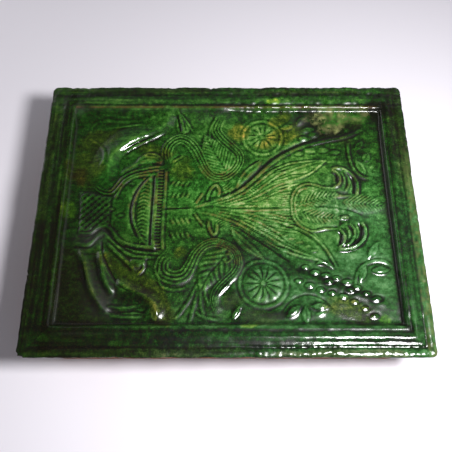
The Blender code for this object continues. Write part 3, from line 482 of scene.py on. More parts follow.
def carve_tulips(relief):
    """The two large flowers on curling stalks, one on each side of the stem."""
    # the far one: its stalk of four lines, its petal and its tips
    stalk = [
        (-42.5, 39), (-44.5, 47), (-42.5, 55), (-36, 60), (-29, 58), (-23.5, 51), (-19.5, 42),
        (-15.5, 34), (-9.5, 28.5), (-2, 28), (5, 33), (9, 40), (8.5, 47), (2.5, 54), (-4, 60.5),
        (-8, 68), (-5, 77),
    ]
    relief.band(stalk, [5.2, 5.4, 5.4, 5.0, 4.8, 4.6, 4.2, 4.4, 4.8, 4.8, 4.2], 0.5, edge=3.5)
    relief.comb(stalk, 4, 2.8, 0.9, [0.8, 0.85, 0.82, 0.8, 0.75, 0.72, 0.7, 0.72, 0.8, 0.85, 0.7])
    petal = [(1, 31), (-5, 41), (-11, 51), (-17, 64)]
    relief.leaf(petal, 25, 1.3, fullest=0.36, vein=0.7, ribs=0.5, pitch=3.4)
    relief.leaf([(-31, 65), (-33.5, 73), (-38, 84)], 11, 1.2, fullest=0.3)
    relief.groove([(-37.6, 80), (-36, 73), (-34.6, 66)], 2.2, 1.4)

    # the near one, with three more leaves at its foot
    stalk = [
        (-40, -33), (-44.5, -38), (-44, -45.5), (-37, -49.5), (-29.5, -47.5), (-25, -40), (-21.5, -32),
        (-16, -26), (-8, -23.5), (0, -26), (6, -31.5), (7.8, -39.5), (4.5, -46.5), (-2, -53),
        (-7.5, -60), (-8.5, -67), (-4.5, -74),
    ]
    relief.band(stalk, [5.4, 6.0, 6.2, 5.4, 4.4, 4.0, 4.0, 4.2, 4.2, 4.0, 3.6], 0.5, edge=3.5)
    relief.comb(stalk, 4, 2.8, 0.9, [0.9, 1.0, 1.0, 0.85, 0.68, 0.62, 0.62, 0.66, 0.66, 0.64, 0.55])
    petal = [(1, -28), (-5, -38), (-12, -47), (-18, -60)]
    relief.leaf(petal, 23, 0.8, fullest=0.36, vein=0.8, ribs=0.5, pitch=5.2)
    relief.leaf([(-6, -61.5), (-2.5, -58), (2.5, -53.5)], 2.4, 1.0)
    relief.leaf([(3.5, -78.5), (6, -74.5), (9, -69)], 3.2, 1.1)
    for bend, tip in [((-24, -62), (-34, -78)), ((-21, -64), (-25, -81)), ((-18, -66), (-14, -80))]:
        relief.ridge([(-18, -49), bend, tip], 2.2, 0.5)

    for width, height, points in [
        (1.8, 0.8, [(-13, 58), (-12.5, 69), (-7, 79)]),
        (1.8, 1.1, [(-37, 83), (-34.2, 76), (-33, 70), (-32, 66)]),
        (1.6, 0.7, [(-34.5, 80), (-29, 73), (-25.5, 66)]),
        (1.8, 0.8, [(-40, 40), (-36.5, 43), (-32, 45.5)]),
        (2.0, 0.4, [
            (-28.5, -43), (-24, -34), (-18.5, -26), (-10, -21.8), (-2, -23), (5, -27.5), (9.5, -36),
            (8, -45), (1, -53.5), (-6, -61), (-6.5, -68), (-3, -73.5),
        ]),
        (1.8, 1.0, [(-3, -35), (-0.5, -38.5), (3, -36), (1.5, -32.5), (-2, -33), (-3, -35)]),
        (2.2, 0.7, [(-21, -73), (-16, -76.5), (-6, -79)]),
        (2.2, 0.5, [(-14, -50), (-15, -60), (-12, -70)]),
        (2.0, 0.6, [(-47, -44), (-45, -54), (-38, -58), (-28, -57)]),
    ]:
        relief.ridge(points, width, height)


def carve_crown(relief):
    """The flower at the top of the stem: its bud, the two curled petals and the leaf at its tip."""
    relief.band([(46, 3.5), (81, 3.5)], [10, 17, 18.2, 17.4, 16.5, 16.5], 0.9, edge=2.0)
    for width, height, points in [
        (1.8, 1.2, [
            (80, 19.4), (72, 19.4), (66, 21.3), (60, 22.3), (54, 20.8), (49, 16), (46.8, 10), (46.5, 3),
            (47, -3), (49.5, -8), (54, -12.6), (61, -14.8), (70, -13.4), (79, -13.6),
        ]),
        (1.6, 0.8, [(60, 19), (54, 17.5), (50.5, 13), (49, 6), (49, 0), (51, -6), (55, -10)]),
        (1.8, 1.1, [(77, 11.5), (84, 12.5), (91, 12.5)]),
    ]:
        relief.ridge(points, width, height)
    relief.leaf([(50, 5), (66, 10.5), (84, 13.5)], 13, 0.8, ribs=0.7, pitch=3.0, vein=0.5)
    relief.leaf([(50, 1), (66, -4), (84, -5.5)], 11, 0.8, ribs=0.7, pitch=3.0, vein=0.5)
    relief.leaf([(84, 8), (98, 6), (115, 3.5)], 16, 0.5, ribs=0.8, pitch=2.8, vein=0.6)
    relief.groove([(57, 3.8), (68, 4.2), (80, 2.8), (90, 0.8), (97, -2.6)], 1.8, 0.6)
    relief.bead(84.5, -4.5, 1.6, 2.8)
    # the curled petals, the far one and the near one
    relief.band([(78, 26.5), (88, 25)], [9, 10, 10], 0.7)
    relief.band([(79, -20), (89, -17)], [8, 9, 10], 0.7)
    for width, height, points in [
        (2.6, 2.2, [(77, 34.5), (83, 35.5), (88.5, 32.5), (93.5, 27), (96, 20), (94.5, 12)]),
        (2.2, 2.0, [(77.5, 34), (81.5, 30.5), (83, 26), (82, 22), (78, 19.5)]),
        (2.0, 1.3, [(86, 33), (89, 28), (89.8, 22), (86.5, 16)]),
        (1.6, 1.0, [(84.5, 31), (86, 27), (86, 22)]),
        (2.6, 2.6, [(78, -28.8), (84, -28.6), (90.5, -26.4), (96, -21.5), (98, -15), (96, -8)]),
        (2.2, 2.2, [(78.5, -28), (82.3, -23.5), (83, -18.5), (80, -14)]),
        (2.0, 1.4, [(87, -9), (90, -13.5), (90, -19), (86.5, -24.5), (82.5, -26.5)]),
        (1.6, 1.0, [(85, -12), (86.6, -16), (86, -21)]),
    ]:
        relief.ridge(points, width, height, taper=0.1, moat=0.2)
    for width, depth, taper, points in [
        (3.2, 1.6, 0.2, [(79.8, 32), (80.6, 28), (80.2, 24)]),
        (3.2, 1.6, 0.2, [(80, -15), (80.8, -20), (79.6, -26)]),
        (3.0, 1.5, 0.12, [(91.5, 28), (93.2, 22), (92.4, 14)]),
        (3.0, 1.5, 0.12, [(93.5, -9), (95, -15), (92.8, -21), (87, -26)]),
    ]:
        relief.groove(points, width, depth, taper)


def carve_sprigs(relief):
    """Rosettes, and small leaves on arching stalks, in the corners of the panel."""
    relief.rosette(27, 61.5, radius=12.6, petals=12, ring=14.4)
    relief.rosette(24.6, -53.6, radius=14.0, petals=13, ring=16.3)
    for x, y, length, width, turn, height in [
        (102, -29.5, 14, 5.5, 58, 1.2), (105.5, -43.8, 13, 5.6, 2, 1.5), (93, -46.5, 13, 5, 66, 1.2),
        (99, 35.5, 15, 6.4, 116, 1.2), (104.5, 44, 9, 6.5, 60, 1.2), (99.5, 54, 12, 5, 52, 1.0),
        (44.5, -72.5, 13, 5.6, 42, 1.3), (53, -75, 13, 6.0, 95, 1.1), (62.5, -69.3, 12, 5.0, -4, 1.4),
        (63, -74, 8, 3.0, 14, 1.0), (46, 70.5, 11, 5.0, 16, 1.2), (56, 75.5, 10, 4.5, 52, 1.2),
        (62, 68, 11, 5.5, 4, 1.2),
    ]:
        dx = length / 2 * math.cos(math.radians(turn))
        dy = length / 2 * math.sin(math.radians(turn))
        relief.leaf([(x - dx, y - dy), (x, y), (x + dx, y + dy)], width, height, fullest=0.5, vein=0.5)
    relief.ridge([
        (87, -56), (88.5, -49), (92, -42.5), (97, -38.8), (103, -37), (109, -38), (113, -41),
    ], width=2.2, height=0.35)
    relief.ridge([(91.5, 57), (91.3, 48), (92, 40), (94.5, 33), (99, 28), (105, 26.5)], 2.2, 1.1)
    relief.groove([
        (36, -74), (41, -67), (47, -62.8), (54, -61), (61, -62.3), (67, -66), (71, -71.5),
    ], width=1.8, depth=0.5)


def frame_height(x, y, filled=0.0):
    """The frame's height, with its lines a little out of true and partly filled with glaze.

    The mould's near and right sides were cut a little wider than the others.
    """
    sway = 0.3 * wander(x, y, 34, 11) + 0.12 * wander(x, y, 9, 12)
    far = 0.98 * (FACE_WIDTH / 2 - y)
    near = np.interp(FACE_WIDTH / 2 + y, [0, 6.6, 19.5, 23, 200], [0, 6.7, 17.6, 21, 198])
    right = np.interp(FACE_LENGTH / 2 - x, [0, 12, 18.5, 22, 300], [0, 12, 20.5, 24, 302])
    inward = np.minimum(np.minimum(FACE_LENGTH / 2 + x, right), np.minimum(far, near))
    places, heights = np.array(FRAME_SECTION).T
    heights = np.interp(np.maximum(inward + sway * rise(inward, 0, 3), 0), places, heights)
    return heights + filled * rise(heights, 3, 4.5) * (5.2 - heights)


def from_oval(px, py, length, width, turn):
    """How far each place is from an oval's middle, where 1 is on the oval."""
    cos, sin = math.cos(math.radians(turn)), math.sin(math.radians(turn))
    u = ((x - px) * cos + (y - py) * sin) / (length / 2)
    v = ((y - py) * cos - (x - px) * sin) / (width / 2)
    return np.hypot(u, v)


def bells(spots):
    """Soft spots of (x, y, length, width, turn, amount), added up."""
    return sum(amount * np.exp(-0.7 * from_oval(*oval) ** 3) for *oval, amount in spots)


def patch(spots, feather=0.45):
    """How far a place is inside ragged patches of (x, y, length, width, turn), from 0 to 1."""
    ragged = 0.34 * wander(x, y, 9, 51) + 0.22 * wander(x, y, 3.5, 52) + 0.1 * wander(x, y, 1.6, 53)
    nearest = np.minimum.reduce([from_oval(*oval) for oval in spots])
    return np.clip((1 - nearest + ragged) / feather + 0.5, 0, 1)


columns = round(FACE_LENGTH / GRID_STEP)
rows = round(FACE_WIDTH / GRID_STEP)
x, y = np.meshgrid(
    np.linspace(-FACE_LENGTH / 2, FACE_LENGTH / 2, columns + 1),
    np.linspace(-FACE_WIDTH / 2, FACE_WIDTH / 2, rows + 1),
)
inward = np.minimum(FACE_LENGTH / 2 - abs(x), FACE_WIDTH / 2 - abs(y))
in_panel = rise(inward, FRAME_WIDTH + 0.6, FRAME_WIDTH + 2.2)
on_frame = 1 - rise(inward, FRAME_WIDTH - 1, FRAME_WIDTH + 0.5)
leftward = rise(-x, 45, 100)
far_side = rise(y, 81, 84)

# The mould was cut by hand, so nothing in the carving is quite straight.
relief = Relief(x + 0.5 * wander(x, y, 16, 5), y + 0.5 * wander(x, y, 16, 6))
for carve in [
    carve_vase, carve_handles, carve_marks, carve_sheaf, carve_tulips, carve_crown, carve_sprigs,
]:
    carve(relief)

# The marks of the brush and of the hand: along the frame's sides, and along the panel.
across = FACE_LENGTH / 2 - abs(x) < FACE_WIDTH / 2 - abs(y)
brushed = np.where(across, wander(y, x, 1.2, 24, 16), wander(x, y, 1.2, 25, 16))
brushed += 0.6 * np.where(across, wander(y, x, 2.3, 27, 9), wander(x, y, 2.3, 28, 9))
brushed *= 1 - rise(inward, FRAME_WIDTH - 1, FRAME_WIDTH + 1)
streaks = wander(x, y, 1.4, 26, 8) * in_panel
pitting = wander(x, y, 1.6, 23)

# The mould was worn in its middle, so the carving is shallower there.
shallow = bells([(22, 4, 150, 78, 0, 0.45), (-10, 42, 60, 50, 0, 0.3), (-12, -42, 60, 44, 0, 0.25)])
shallow = shallow.clip(0, 0.5)

# Glaze filled the frame's mouldings, most of all on its left and far sides, and pooled along the
# panel's far edge.
filled = np.maximum.reduce([
    0.85 * rise(-x, 95, 115),
    0.65 * rise(y, 80, 86),
    0.5 * rise(-x, -30, 10),
    0.7 * rise(x, 112, 114) * rise(y, -78, -74),
    0.95 * ((y < -80) | (x < -112)) * rise(inward, 14.6, 15.6),
])
back = rise(y, 69, 88)
pool = (5.2 - 3.0 * rise(x, -10, 20)) * back * back * (3 - 2 * back)

clay = np.maximum(frame_height(x, y, filled), pool) + relief.height() * in_panel * (1 - shallow)
clay += 0.13 * wander(x, y, 11, 21) + 0.08 * wander(x, y, 4.2, 22)
clay += (0.3 + 0.25 * (x > 0)) * far_side * wander(x, y, 2.2, 63)
clay += rise(-y, 96, 97) * rise(x, 10, 20) * (0.15 * pitting + 0.28 * wander(x, y, 1.1, 69))
clay += (0.12 - 0.08 * (x > 45) * (y < -80)) * brushed + 0.04 * streaks + 0.04 * pitting
clay += 0.12 * bells([(53, -72, 36, 18, 0, 1.0), (-68, 60, 44, 16, 36, 0.5)]) * wander(x, y, 1.5, 67)

# The glaze lay over the clay like thick syrup, and left only the bolder forms standing out.
bold = bells([
    (-68, 56, 60, 30, 35, 1.0), (-94, -50, 40, 80, 20, 0.7), (-60, -66, 50, 30, -30, 0.7),
    (-70, 0, 80, 90, 0, 0.8), (84, 24, 30, 36, 0, 0.4), (86, -18, 30, 36, 0, 0.9),
    (104, -38, 24, 36, 0, 0.7), (1, -57, 14, 12, 0, 0.9), (7, -75, 12, 14, 0, 0.9),
    (65, 20, 14, 6, 0, 0.9), (46, 1.5, 10, 4, 0, 0.9), (76, -57, 74, 26, -24, 0.6),
])
bold = np.maximum(bold.clip(0, 1), 1 - rise(inward, FRAME_WIDTH, FRAME_WIDTH + 2))
height = bold * blurred(clay, 0.5) + (1 - bold) * blurred(clay, 1.0)

# It ran off the crests of the mould's crisp drawing and gathered in its hollows.
crisp = frame_height(x, y) + relief.height() * in_panel
crisp += 0.10 * wander(x, y, 4.2, 22) + 0.12 * wander(x, y, 1.7, 29)
hollow = blurred(crisp, 1.3) - blurred(crisp, 0.25)
crest = -hollow
foot_of_frame = swell(inward, 21.2, 2.2) * (x < FACE_LENGTH / 2 - 24)
hollow = hollow.clip(-0.2, 0.8) * (1 - 0.8 * foot_of_frame) * (1 - 0.7 * rise(-x, 108, 112))
valley = blurred(height, 4.5) - height

# How deep the glaze lies and how dark it is, with painted shade in it: darker towards the left, partly
# deeper glaze and partly painted shade where the lamp's light falls off, and darker on the frame; a
# painted shadow along the right side's inner edge; and some spots below made darker to damp the lamp's
# reflections.
glaze_depth_and_painted_shade = 1.9 * leftward * (1 - 0.45 * np.clip(y / 60, -0.1, 1)) + 0.9 * on_frame
glaze_depth_and_painted_shade += bells([
    # along the frame
    (50, 103, 190, 12, 0, 1.6), (128, 60, 16, 100, 0, 1.2), (120, 0, 14, 200, 0, 0.9),
    (118, 20, 10, 40, 0, 0.6), (119, -40, 9, 60, 0, 0.4), (-121, 60, 10, 90, 0, 0.5),
    (2, 83, 50, 14, 0, 0.9), (-20, 89, 60, 10, 0, 0.6), (-68, 89, 16, 9, 0, 0.9),
    (20, -94, 190, 14, 0, 0.9), (112, -91, 14, 8, 0, 0.8), (-40, -91, 90, 8, 0, 0.6),
    (-84, -82, 90, 8, 0, 0.4), (-112, -92, 50, 12, 0, 0.4),
    # about the vase and its handles
    (-40, -50, 60, 70, 0, 0.5), (-97, 5, 26, 30, 0, 0.7), (-88, -10, 20, 14, 0, 0.6),
    (-99, -22, 20, 12, 0, 0.9), (-52, -16, 26, 26, 0, 0.8), (-28, -24, 30, 30, 0, 0.5),
    (-60, 22, 14, 16, 0, 0.6), (-48, 38, 12, 34, 0, 1.7), (-68, 50, 16, 10, 40, 0.3),
    (-54, 59, 16, 10, 0, 0.7), (-60, 69, 60, 12, 0, 0.5), (-70, 79, 60, 12, 0, 0.3),
    (-95, 79, 34, 10, 0, 0.7), (-83, -70, 16, 12, 0, 0.9), (-90, -66, 50, 30, 0, 0.3),
    (-66, -62, 30, 12, 0, 0.7), (-58, -66, 20, 14, -30, 0.5), (-60, -72, 50, 12, 0, 0.4),
    # among the stems, the leaves and the two large flowers
    (-32, 14, 20, 40, 0, 0.4), (-30, 39, 14, 10, 0, 0.7), (-20, 79, 40, 10, 0, 0.3),
    (-8, 27, 44, 12, 0, 0.6), (5, 29, 20, 8, 0, 0.9), (22, 32, 50, 6, 41, 0.8),
    (30, 38, 14, 14, 40, 0.8), (56, 53, 60, 7, 18, 0.9), (12, -62, 120, 52, 0, 0.9),
    (-2, -22, 60, 12, -10, 0.9), (15, -21, 14, 20, 0, 1.0), (12, -35, 16, 32, 0, 0.7),
    (28, -26, 56, 7, -40, 1.0), (30, -46, 20, 12, -20, 0.7), (12, -60, 30, 30, 0, 0.3),
    # in the corners and about the flower at the tip
    (90, 56, 76, 32, -8, 1.1), (89, 68, 42, 11, 10, 2.2), (65, 77, 20, 14, 0, 3.1),
    (50, 79, 14, 10, 0, 0.7), (115, 83, 17, 18, 0, 3.3), (100, 84, 30, 10, 0, 0.5),
    (98, 10, 24, 80, 0, 0.5), (104, 24, 22, 18, 0, 0.6), (92, 27, 27, 11, 0, 1.1),
    (80, 20, 12, 10, 0, 0.6), (91, -2, 14, 10, 0, 0.8), (83, -11.5, 13, 10, 0, 1.0),
    (72, -41, 14, 10, 0, 0.8), (104, -44, 13, 13, 0, 1.5), (75, -55, 66, 7.5, -22, 2.4),
    (84, -72, 60, 24, -6, 0.6), (98, -76, 30, 14, 0, 0.8), (101, -71, 14, 12, 0, 0.7),
    (36, -71.5, 26, 11, 0, 2.0),
])
# Where it is thinner, and paler over the white slip of the clay. Some of these spots are painted light,
# which brighten places left dark by the dimmer left side of the studio, such as the face's left edge
# and the far frame.
glaze_depth_and_painted_shade -= bells([
    # along the frame
    (60, 100, 110, 7, 0, 1.2), (-110, 99, 60, 9, 0, 0.5), (-75, 89, 110, 9, 0, 0.6),
    (-84, 89, 50, 10, 0, 0.7), (40, 89, 170, 8, 0, 0.3), (-130, 0, 12, 220, 0, 0.9),
    (130, 40, 12, 90, 0, 0.8), (128, 28, 12, 30, 0, 0.8), (121, 64, 10, 30, 0, 1.2),
    (124, -72, 20, 40, 0, 0.6), (119, 10, 9, 110, 0, 0.3), (-110, -98, 80, 16, 0, 0.6),
    (85, -101, 110, 7, 0, 1.1), (26, -90, 24, 8, 0, 0.6), (35, -81, 24, 10, 0, 0.6),
    # about the vase and its handles
    (-58, 0, 16, 50, 0, 0.6), (-106, 6, 30, 60, 0, 0.6), (-84, -25, 36, 16, 0, 0.7),
    (-88, 35, 20, 20, 0, 0.7), (-35, 59, 20, 9, 0, 0.4), (-61, -71.5, 13, 8, 0, 1.4),
    # on the leaves and the flowers
    (45, 6, 110, 60, 0, 0.9), (39, 21, 32, 16, 15, 0.9), (78, 37, 80, 14, 0, 0.5),
    (-4, 36, 20, 30, 30, 0.5), (-30, 2, 20, 30, 0, 0.5), (1, 9, 12, 10, 0, 0.9),
    (30, 5, 60, 14, 0, 0.2), (62, -1, 14, 10, 0, 0.5), (91, 9, 12, 9, 0, 0.6),
    (102, 2, 26, 18, 0, 0.5), (20, -14, 24, 8, -10, 0.5), (36, -20, 18, 8, -30, 0.6),
    (60, -35, 24, 10, 0, 0.3), (76, -31, 70, 10, -6, 0.5), (90, -31, 14, 9, 0, 0.6),
    # on the corners' rosettes and sprigs
    (26, 60, 26, 26, 0, 0.4), (28, -57, 30, 26, 0, 1.3), (10, -51, 12, 10, 0, 0.8),
    (64, 50, 20, 8, 18, 1.0), (108, 34, 16, 50, 0, 0.7), (108, -46, 18, 36, 0, 0.8),
    (61, -51, 13, 10, 0, 1.4), (80, -61, 12, 8, 0, 0.6), (60, -71, 50, 14, 0, 0.9),
])

# The stains: olive and yellow where the slip was thin, brown from iron, teal where copper gathered,
# and bare patches where the glaze has flaked off the slip.
earth = 1.25 * (-x - 40) / 90 + 0.4 * wander(x, y, 12, 57) - 0.008 * y
olive = patch([
    (-104, 36, 30, 24, 80), (-97, 58, 28, 17, 20), (-53, 50, 24, 14, 0), (-66, -48, 44, 16, -34),
    (-46, -67, 30, 14, -60), (84, -72, 34, 15, -22), (42, 64, 34, 13, 30), (8, 66, 16, 13, 0),
    (42, 77, 18, 9, 20), (-33, 34, 17, 19, 0), (-32, -31, 10, 10, 0),
])
yellow = patch([(-113, 2, 8, 15, 0), (14, -83, 12, 5, 0), (105, -78, 9, 7, 0), (36, 91, 9, 5, 0)])
brown = patch([
    (129, 60, 12, 90, 0), (-60, 101, 130, 6, 0), (60, 99, 90, 4, 0), (70, -102, 110, 6, 0),
    (-60, -100, 150, 8, 0), (-102, -56, 32, 60, 10), (-131, 0, 9, 190, 0), (-94, -78, 24, 12, 0),
    (5, -65, 14, 10, 20), (22, -76, 28, 9, 0), (95, 73, 16, 8, 20), (90, 60, 12, 9, 0),
    (-108, 28, 10, 14, 0),
])
smoky = np.clip(0.8 + 0.5 * wander(x, y, 14, 68), 0, 1)
brown = np.maximum(brown, 0.65 * on_frame * leftward * smoky)
teal = (x - 30 - 1.6 * y) / 130 + 0.32 * wander(x, y, 14, 61)
teal += bells([(22, -33, 56, 24, -30, 0.6), (76, -56, 66, 10, -21, 0.6)])
leafy = bells([(-28, 28, 90, 56, 0, 1.0), (-84, 14, 40, 50, 0, 0.8), (100, 0, 26, 60, 0, 0.7)])
bare = patch([(80, 80, 40, 12, 4), (104, 80, 12, 9, 60), (80, 71, 18, 10, 10)], feather=0.35)
bare *= (0.42 + 0.55 * wander(x, y, 3.0, 58)).clip(0, 1)
right_edge = rise(x, FACE_LENGTH / 2 - 6.4, FACE_LENGTH / 2 - 5.4) * rise(-y, -70, -10)
chips = np.clip(0.55 + 0.8 * wander(x, y, 3, 59, 0.5), 0, 1)
bare = np.maximum(bare, 0.4 * right_edge * chips)

# The glaze's depth of colour: the relief's hollows and crests, the glaze depth and painted shade above,
# its own mottling, and two dark lines that run along the far side of the frame.
mottle = wander(x, y, 7, 54) + 0.7 * wander(x, y, 3, 55) + 0.7 * wander(x, y, 1.5, 56, 1.6)
glaze = 0.47 + (0.74 - 0.4 * on_frame) * hollow + 0.05 * valley + 0.155 * glaze_depth_and_painted_shade
glaze += 0.075 * mottle * (1 - 0.6 * np.clip(olive + brown, 0, 1)) - 0.1 * yellow
# A dark line along the near frame's inner lip, and a painted lightening of the panel just inside it,
# where the frame's foot is in shade.
glaze += 0.10 * swell(y, -85, 1.5) - 0.16 * swell(y, -83, 2.2) * in_panel
glaze += 0.16 * swell(y, 88 + 0.4 * wander(x, y, 12, 65), 0.9)
glaze += 0.16 * swell(y, 96.2 + 0.4 * wander(x, y, 15, 66), 0.8)
glaze += (0.10 + 0.08 * leftward) * brushed + 0.08 * streaks

# Clay shows through on the sharpest lines of the carving and on the panel's far edge.
sharp = rise(crest, 0.16, 0.41) * np.clip(0.7 + wander(x, y, 5, 60), 0, 1)
clay_lines = sharp * patch([(20, 8, 130, 70, 0), (-55, 20, 50, 44, 0)], feather=1.0) * (1 - on_frame)
far_crest = swell(y, 86.0, 0.7) * np.clip(0.8 + 0.8 * wander(x, y, 9, 64), 0, 1)
clay_lines = np.maximum(clay_lines, far_crest * (abs(x) < FACE_LENGTH / 2 - FRAME_WIDTH))

# Its shine: wet on the berries, the handle and the near side, and dull where it lies thin or pitted.
glassy = bells([(80, -58, 80, 44, -22, 1.0), (103, -40, 26, 30, 0, 1.0), (102, 40, 20, 30, 0, 0.4)])
gloss = bells([
    (-70, 56, 38, 16, 36, 1.0), (-48, -72, 14, 18, 0, 0.7), (90, -97, 90, 16, 0, 1.2),
    (50, -25, 40, 20, -25, 0.6), (84, -26, 22, 10, 0, 0.8), (74, -13.5, 12, 3, 0, 0.8),
    (66, 20.5, 10, 3, 0, 0.7), (6, -75, 12, 8, 60, 0.8), (0, -58, 10, 8, 45, 0.7),
])
gloss = np.maximum(gloss, 1.2 * glassy * relief.shine).clip(0, 1)
dull = bells([
    (-95, -20, 26, 14, 0, 1.2), (-95, -18, 24, 12, 20, 0.5), (-92, -21, 12, 9, 40, 1.2),
    (-86, -64, 24, 34, 20, 0.9), (-83, -70, 16, 12, 0, 0.6), (-79, -58, 14, 12, 0, 0.5),
    (-113, 84, 8, 8, 0, 3.0), (-10, -50, 50, 56, 0, 0.4), (40, -66, 20, 12, 30, 0.5),
    (86, 26, 24, 30, 0, 0.6), (83, 12, 16, 8, 0, 1.0), (104, 0, 30, 20, 0, 0.9),
    (56, 75, 14, 12, 0, 1.5), (57, 66, 12, 8, 0, 1.0), (116, 86, 24, 14, 0, -1.0),
])
broken = np.clip(3 * wander(x, y, 2.4, 62, 1.6) - 0.7, 0, 1) * (x > 20)
dull += far_side * (1.0 - 1.6 * broken) - swell(y, 83.8, 1.8) * (x > -15) * (0.5 + 2 * broken)
dull -= 1.2 * np.clip(1.4 - abs(x + 118) / 3, 0, 1)
gloss += bells([(80, -60, 120, 60, 0, 0.5)]) * np.clip(1 - gloss, 0, 1)
gloss = (gloss - dull * np.clip(1 - 1.6 * gloss, 0, 1)).clip(-2.6, 1)

# Its tooth: smooth at the left and round the berries, coarse in the olive patch at their end.
coarse = 1 - 0.85 * rise(-x, 50, 80)
coarse -= bells([(80, -55, 130, 70, 0, 0.9), (20, -80, 80, 50, 0, 0.3)]).clip(0, 0.85)
coarse = np.maximum(coarse, olive * (x > 60)).clip(0.1, 1.2)

# The corners: each square ring of the grid's corner is drawn in to a round one.
past_x = np.maximum(abs(x) - FACE_LENGTH / 2 + CORNER_RADIUS, 0)
past_y = np.maximum(abs(y) - FACE_WIDTH / 2 + CORNER_RADIUS, 0)
pull = 1 - np.maximum(past_x, past_y) / np.maximum(np.hypot(past_x, past_y), 1e-6)
pull *= (past_x > 0) & (past_y > 0)
face_x = x - np.sign(x) * past_x * pull
face_y = y - np.sign(y) * past_y * pull

# The slab's edge is worn and chipped, and never quite straight.
worn = 0.4 * np.clip(wander(x, y, 13, 31), 0, 1) + 0.35 * np.clip(wander(x, y, 4, 32), 0, 1)
worn += 0.9 * np.clip(3.2 * wander(x, y, 6, 33) - 2.0, 0, 1)
worn *= (1 - rise(inward, 0, 4.5)) ** 1.5
face_x -= np.sign(x) * worn * (past_x > 0)
face_y -= np.sign(y) * worn * (past_y > 0)
height = np.minimum(height - 0.8 * worn, FRAME_TOP)

points = np.stack([face_x, face_y, GROUND + height], axis=-1).reshape(-1, 3)
index = np.arange(points.shape[0]).reshape(rows + 1, columns + 1)
quads = np.stack([index[:-1, :-1], index[:-1, 1:], index[1:, 1:], index[1:, :-1]], axis=-1)
faces = quads.reshape(-1, 4).tolist()

# The slab's sides taper inwards to its flat back, so that it came out of the mould. Each of their
# points takes its glaze from the point of the rim above it.
rim = np.concatenate([index[0, :-1], index[:-1, -1], index[-1, :0:-1], index[:0:-1, 0]])
layers = [points]
owner = [np.arange(len(points))]
drops = [np.zeros(len(points))]
ring = rim
TO_THE_SIDES = 120.0  # mm from the slab's middle, more or less
for drop, tuck in [(0.12, 0.1), (0.25, 0.5), (0.4, 1.0), (0.6, 1.5), (0.8, 2.0), (1.0, 2.6)]:
    low = points[rim].copy()
    low[:, 2] = low[:, 2] * (1 - drop) + PLATE_BACK * drop
    pitted = 0.3 + 0.3 * wander(low[:, 0] + low[:, 1], 9 * drop + low[:, 1] - low[:, 0], 5, 41)
    low[:, :2] *= (1 - (tuck + pitted * min(drop * 3, 1)) / TO_THE_SIDES)[:, None]
    below = np.arange(len(rim)) + sum(len(layer) for layer in layers)
    layers.append(low)
    owner.append(rim)
    drops.append(np.full(len(rim), drop))
    faces += np.stack([ring, below, np.roll(below, -1), np.roll(ring, -1)], axis=-1).tolist()
    ring = below
faces.append(ring[::-1].tolist())
points = np.vstack(layers)
owner = np.concatenate(owner)
drops = np.concatenate(drops)

tile_mesh = bpy.data.meshes.new("tile_of_clay")
tile_mesh.from_pydata((points * MM).tolist(), [], faces)
tile_mesh.update()
for polygon in tile_mesh.polygons:
    polygon.use_smooth = len(polygon.vertices) == 4


def put(name, data):
    """A new object in the scene."""
    thing = bpy.data.objects.new(name, data)
    bpy.context.scene.collection.objects.link(thing)
    return thing


def store(mesh, name, values):
    """A value for each point of a mesh, for its material to read."""
    layer = mesh.attributes.new(name, "FLOAT", "POINT")
    layer.data.foreach_set("value", values.astype(np.float32))


tile = put("glazed_tile", tile_mesh)
coat = {
    "glaze": glaze,
    "coarse": coarse,
    "gloss": gloss,
    "teal": teal.clip(0, 1),
    "earth": earth.clip(0, 1),
    "olive": olive,
    "yellow": yellow,
    "leafy": leafy.clip(0, 1),
    "brown": brown,
    "bare": bare,
    "clay_lines": clay_lines,
}
for name, values in coat.items():
    store(tile_mesh, name, values.reshape(-1)[owner] * (drops < 1))
drip = wander(points[:, 0] + 2 * points[:, 1], points[:, 1] - points[:, 0], 7, 42)
store(tile_mesh, "unglazed", np.where(drops < 1, rise(drops - 0.25 * drip, 0.8, 0.92), 1))


def paint(code):
    """A colour's hex code as linear red, green, blue and alpha."""
    parts = [int(code[i : i + 2], 16) / 255 for i in (1, 3, 5)]
    linear = [p / 12.92 if p <= 0.04045 else ((p + 0.055) / 1.055) ** 2.4 for p in parts]
    return *linear, 1


def finish(name):
    """A new material, with its node tree and its shader."""
    material = bpy.data.materials.new(name)
    material.use_nodes = True
    return material, material.node_tree, material.node_tree.nodes["Principled BSDF"]


def add(tree, kind, settings, inputs, output=0):
    """A shader node with its settings and its inputs, as values or as other nodes' outputs."""
    node = tree.nodes.new("ShaderNode" + kind)
    for name, value in settings.items():
        setattr(node, name, value)
    for name, value in inputs.items():
        if isinstance(value, bpy.types.NodeSocket):
            tree.links.new(value, node.inputs[name])
        else:
            node.inputs[name].default_value = value
    return node.outputs[output]


TIMES = {"operation": "MULTIPLY"}
TIMES_AND_PLUS = {"operation": "MULTIPLY_ADD"}
SHARE = {"operation": "MULTIPLY_ADD", "use_clamp": True}
LAID_OVER = {"data_type": "RGBA"}
WASH = {"data_type": "RGBA", "blend_type": "MULTIPLY"}
GRIT = 1 / 0.7  # mm, sand and grog in the clay
SCUM = 1 / 0.045  # mm, the paler salts that dried on it


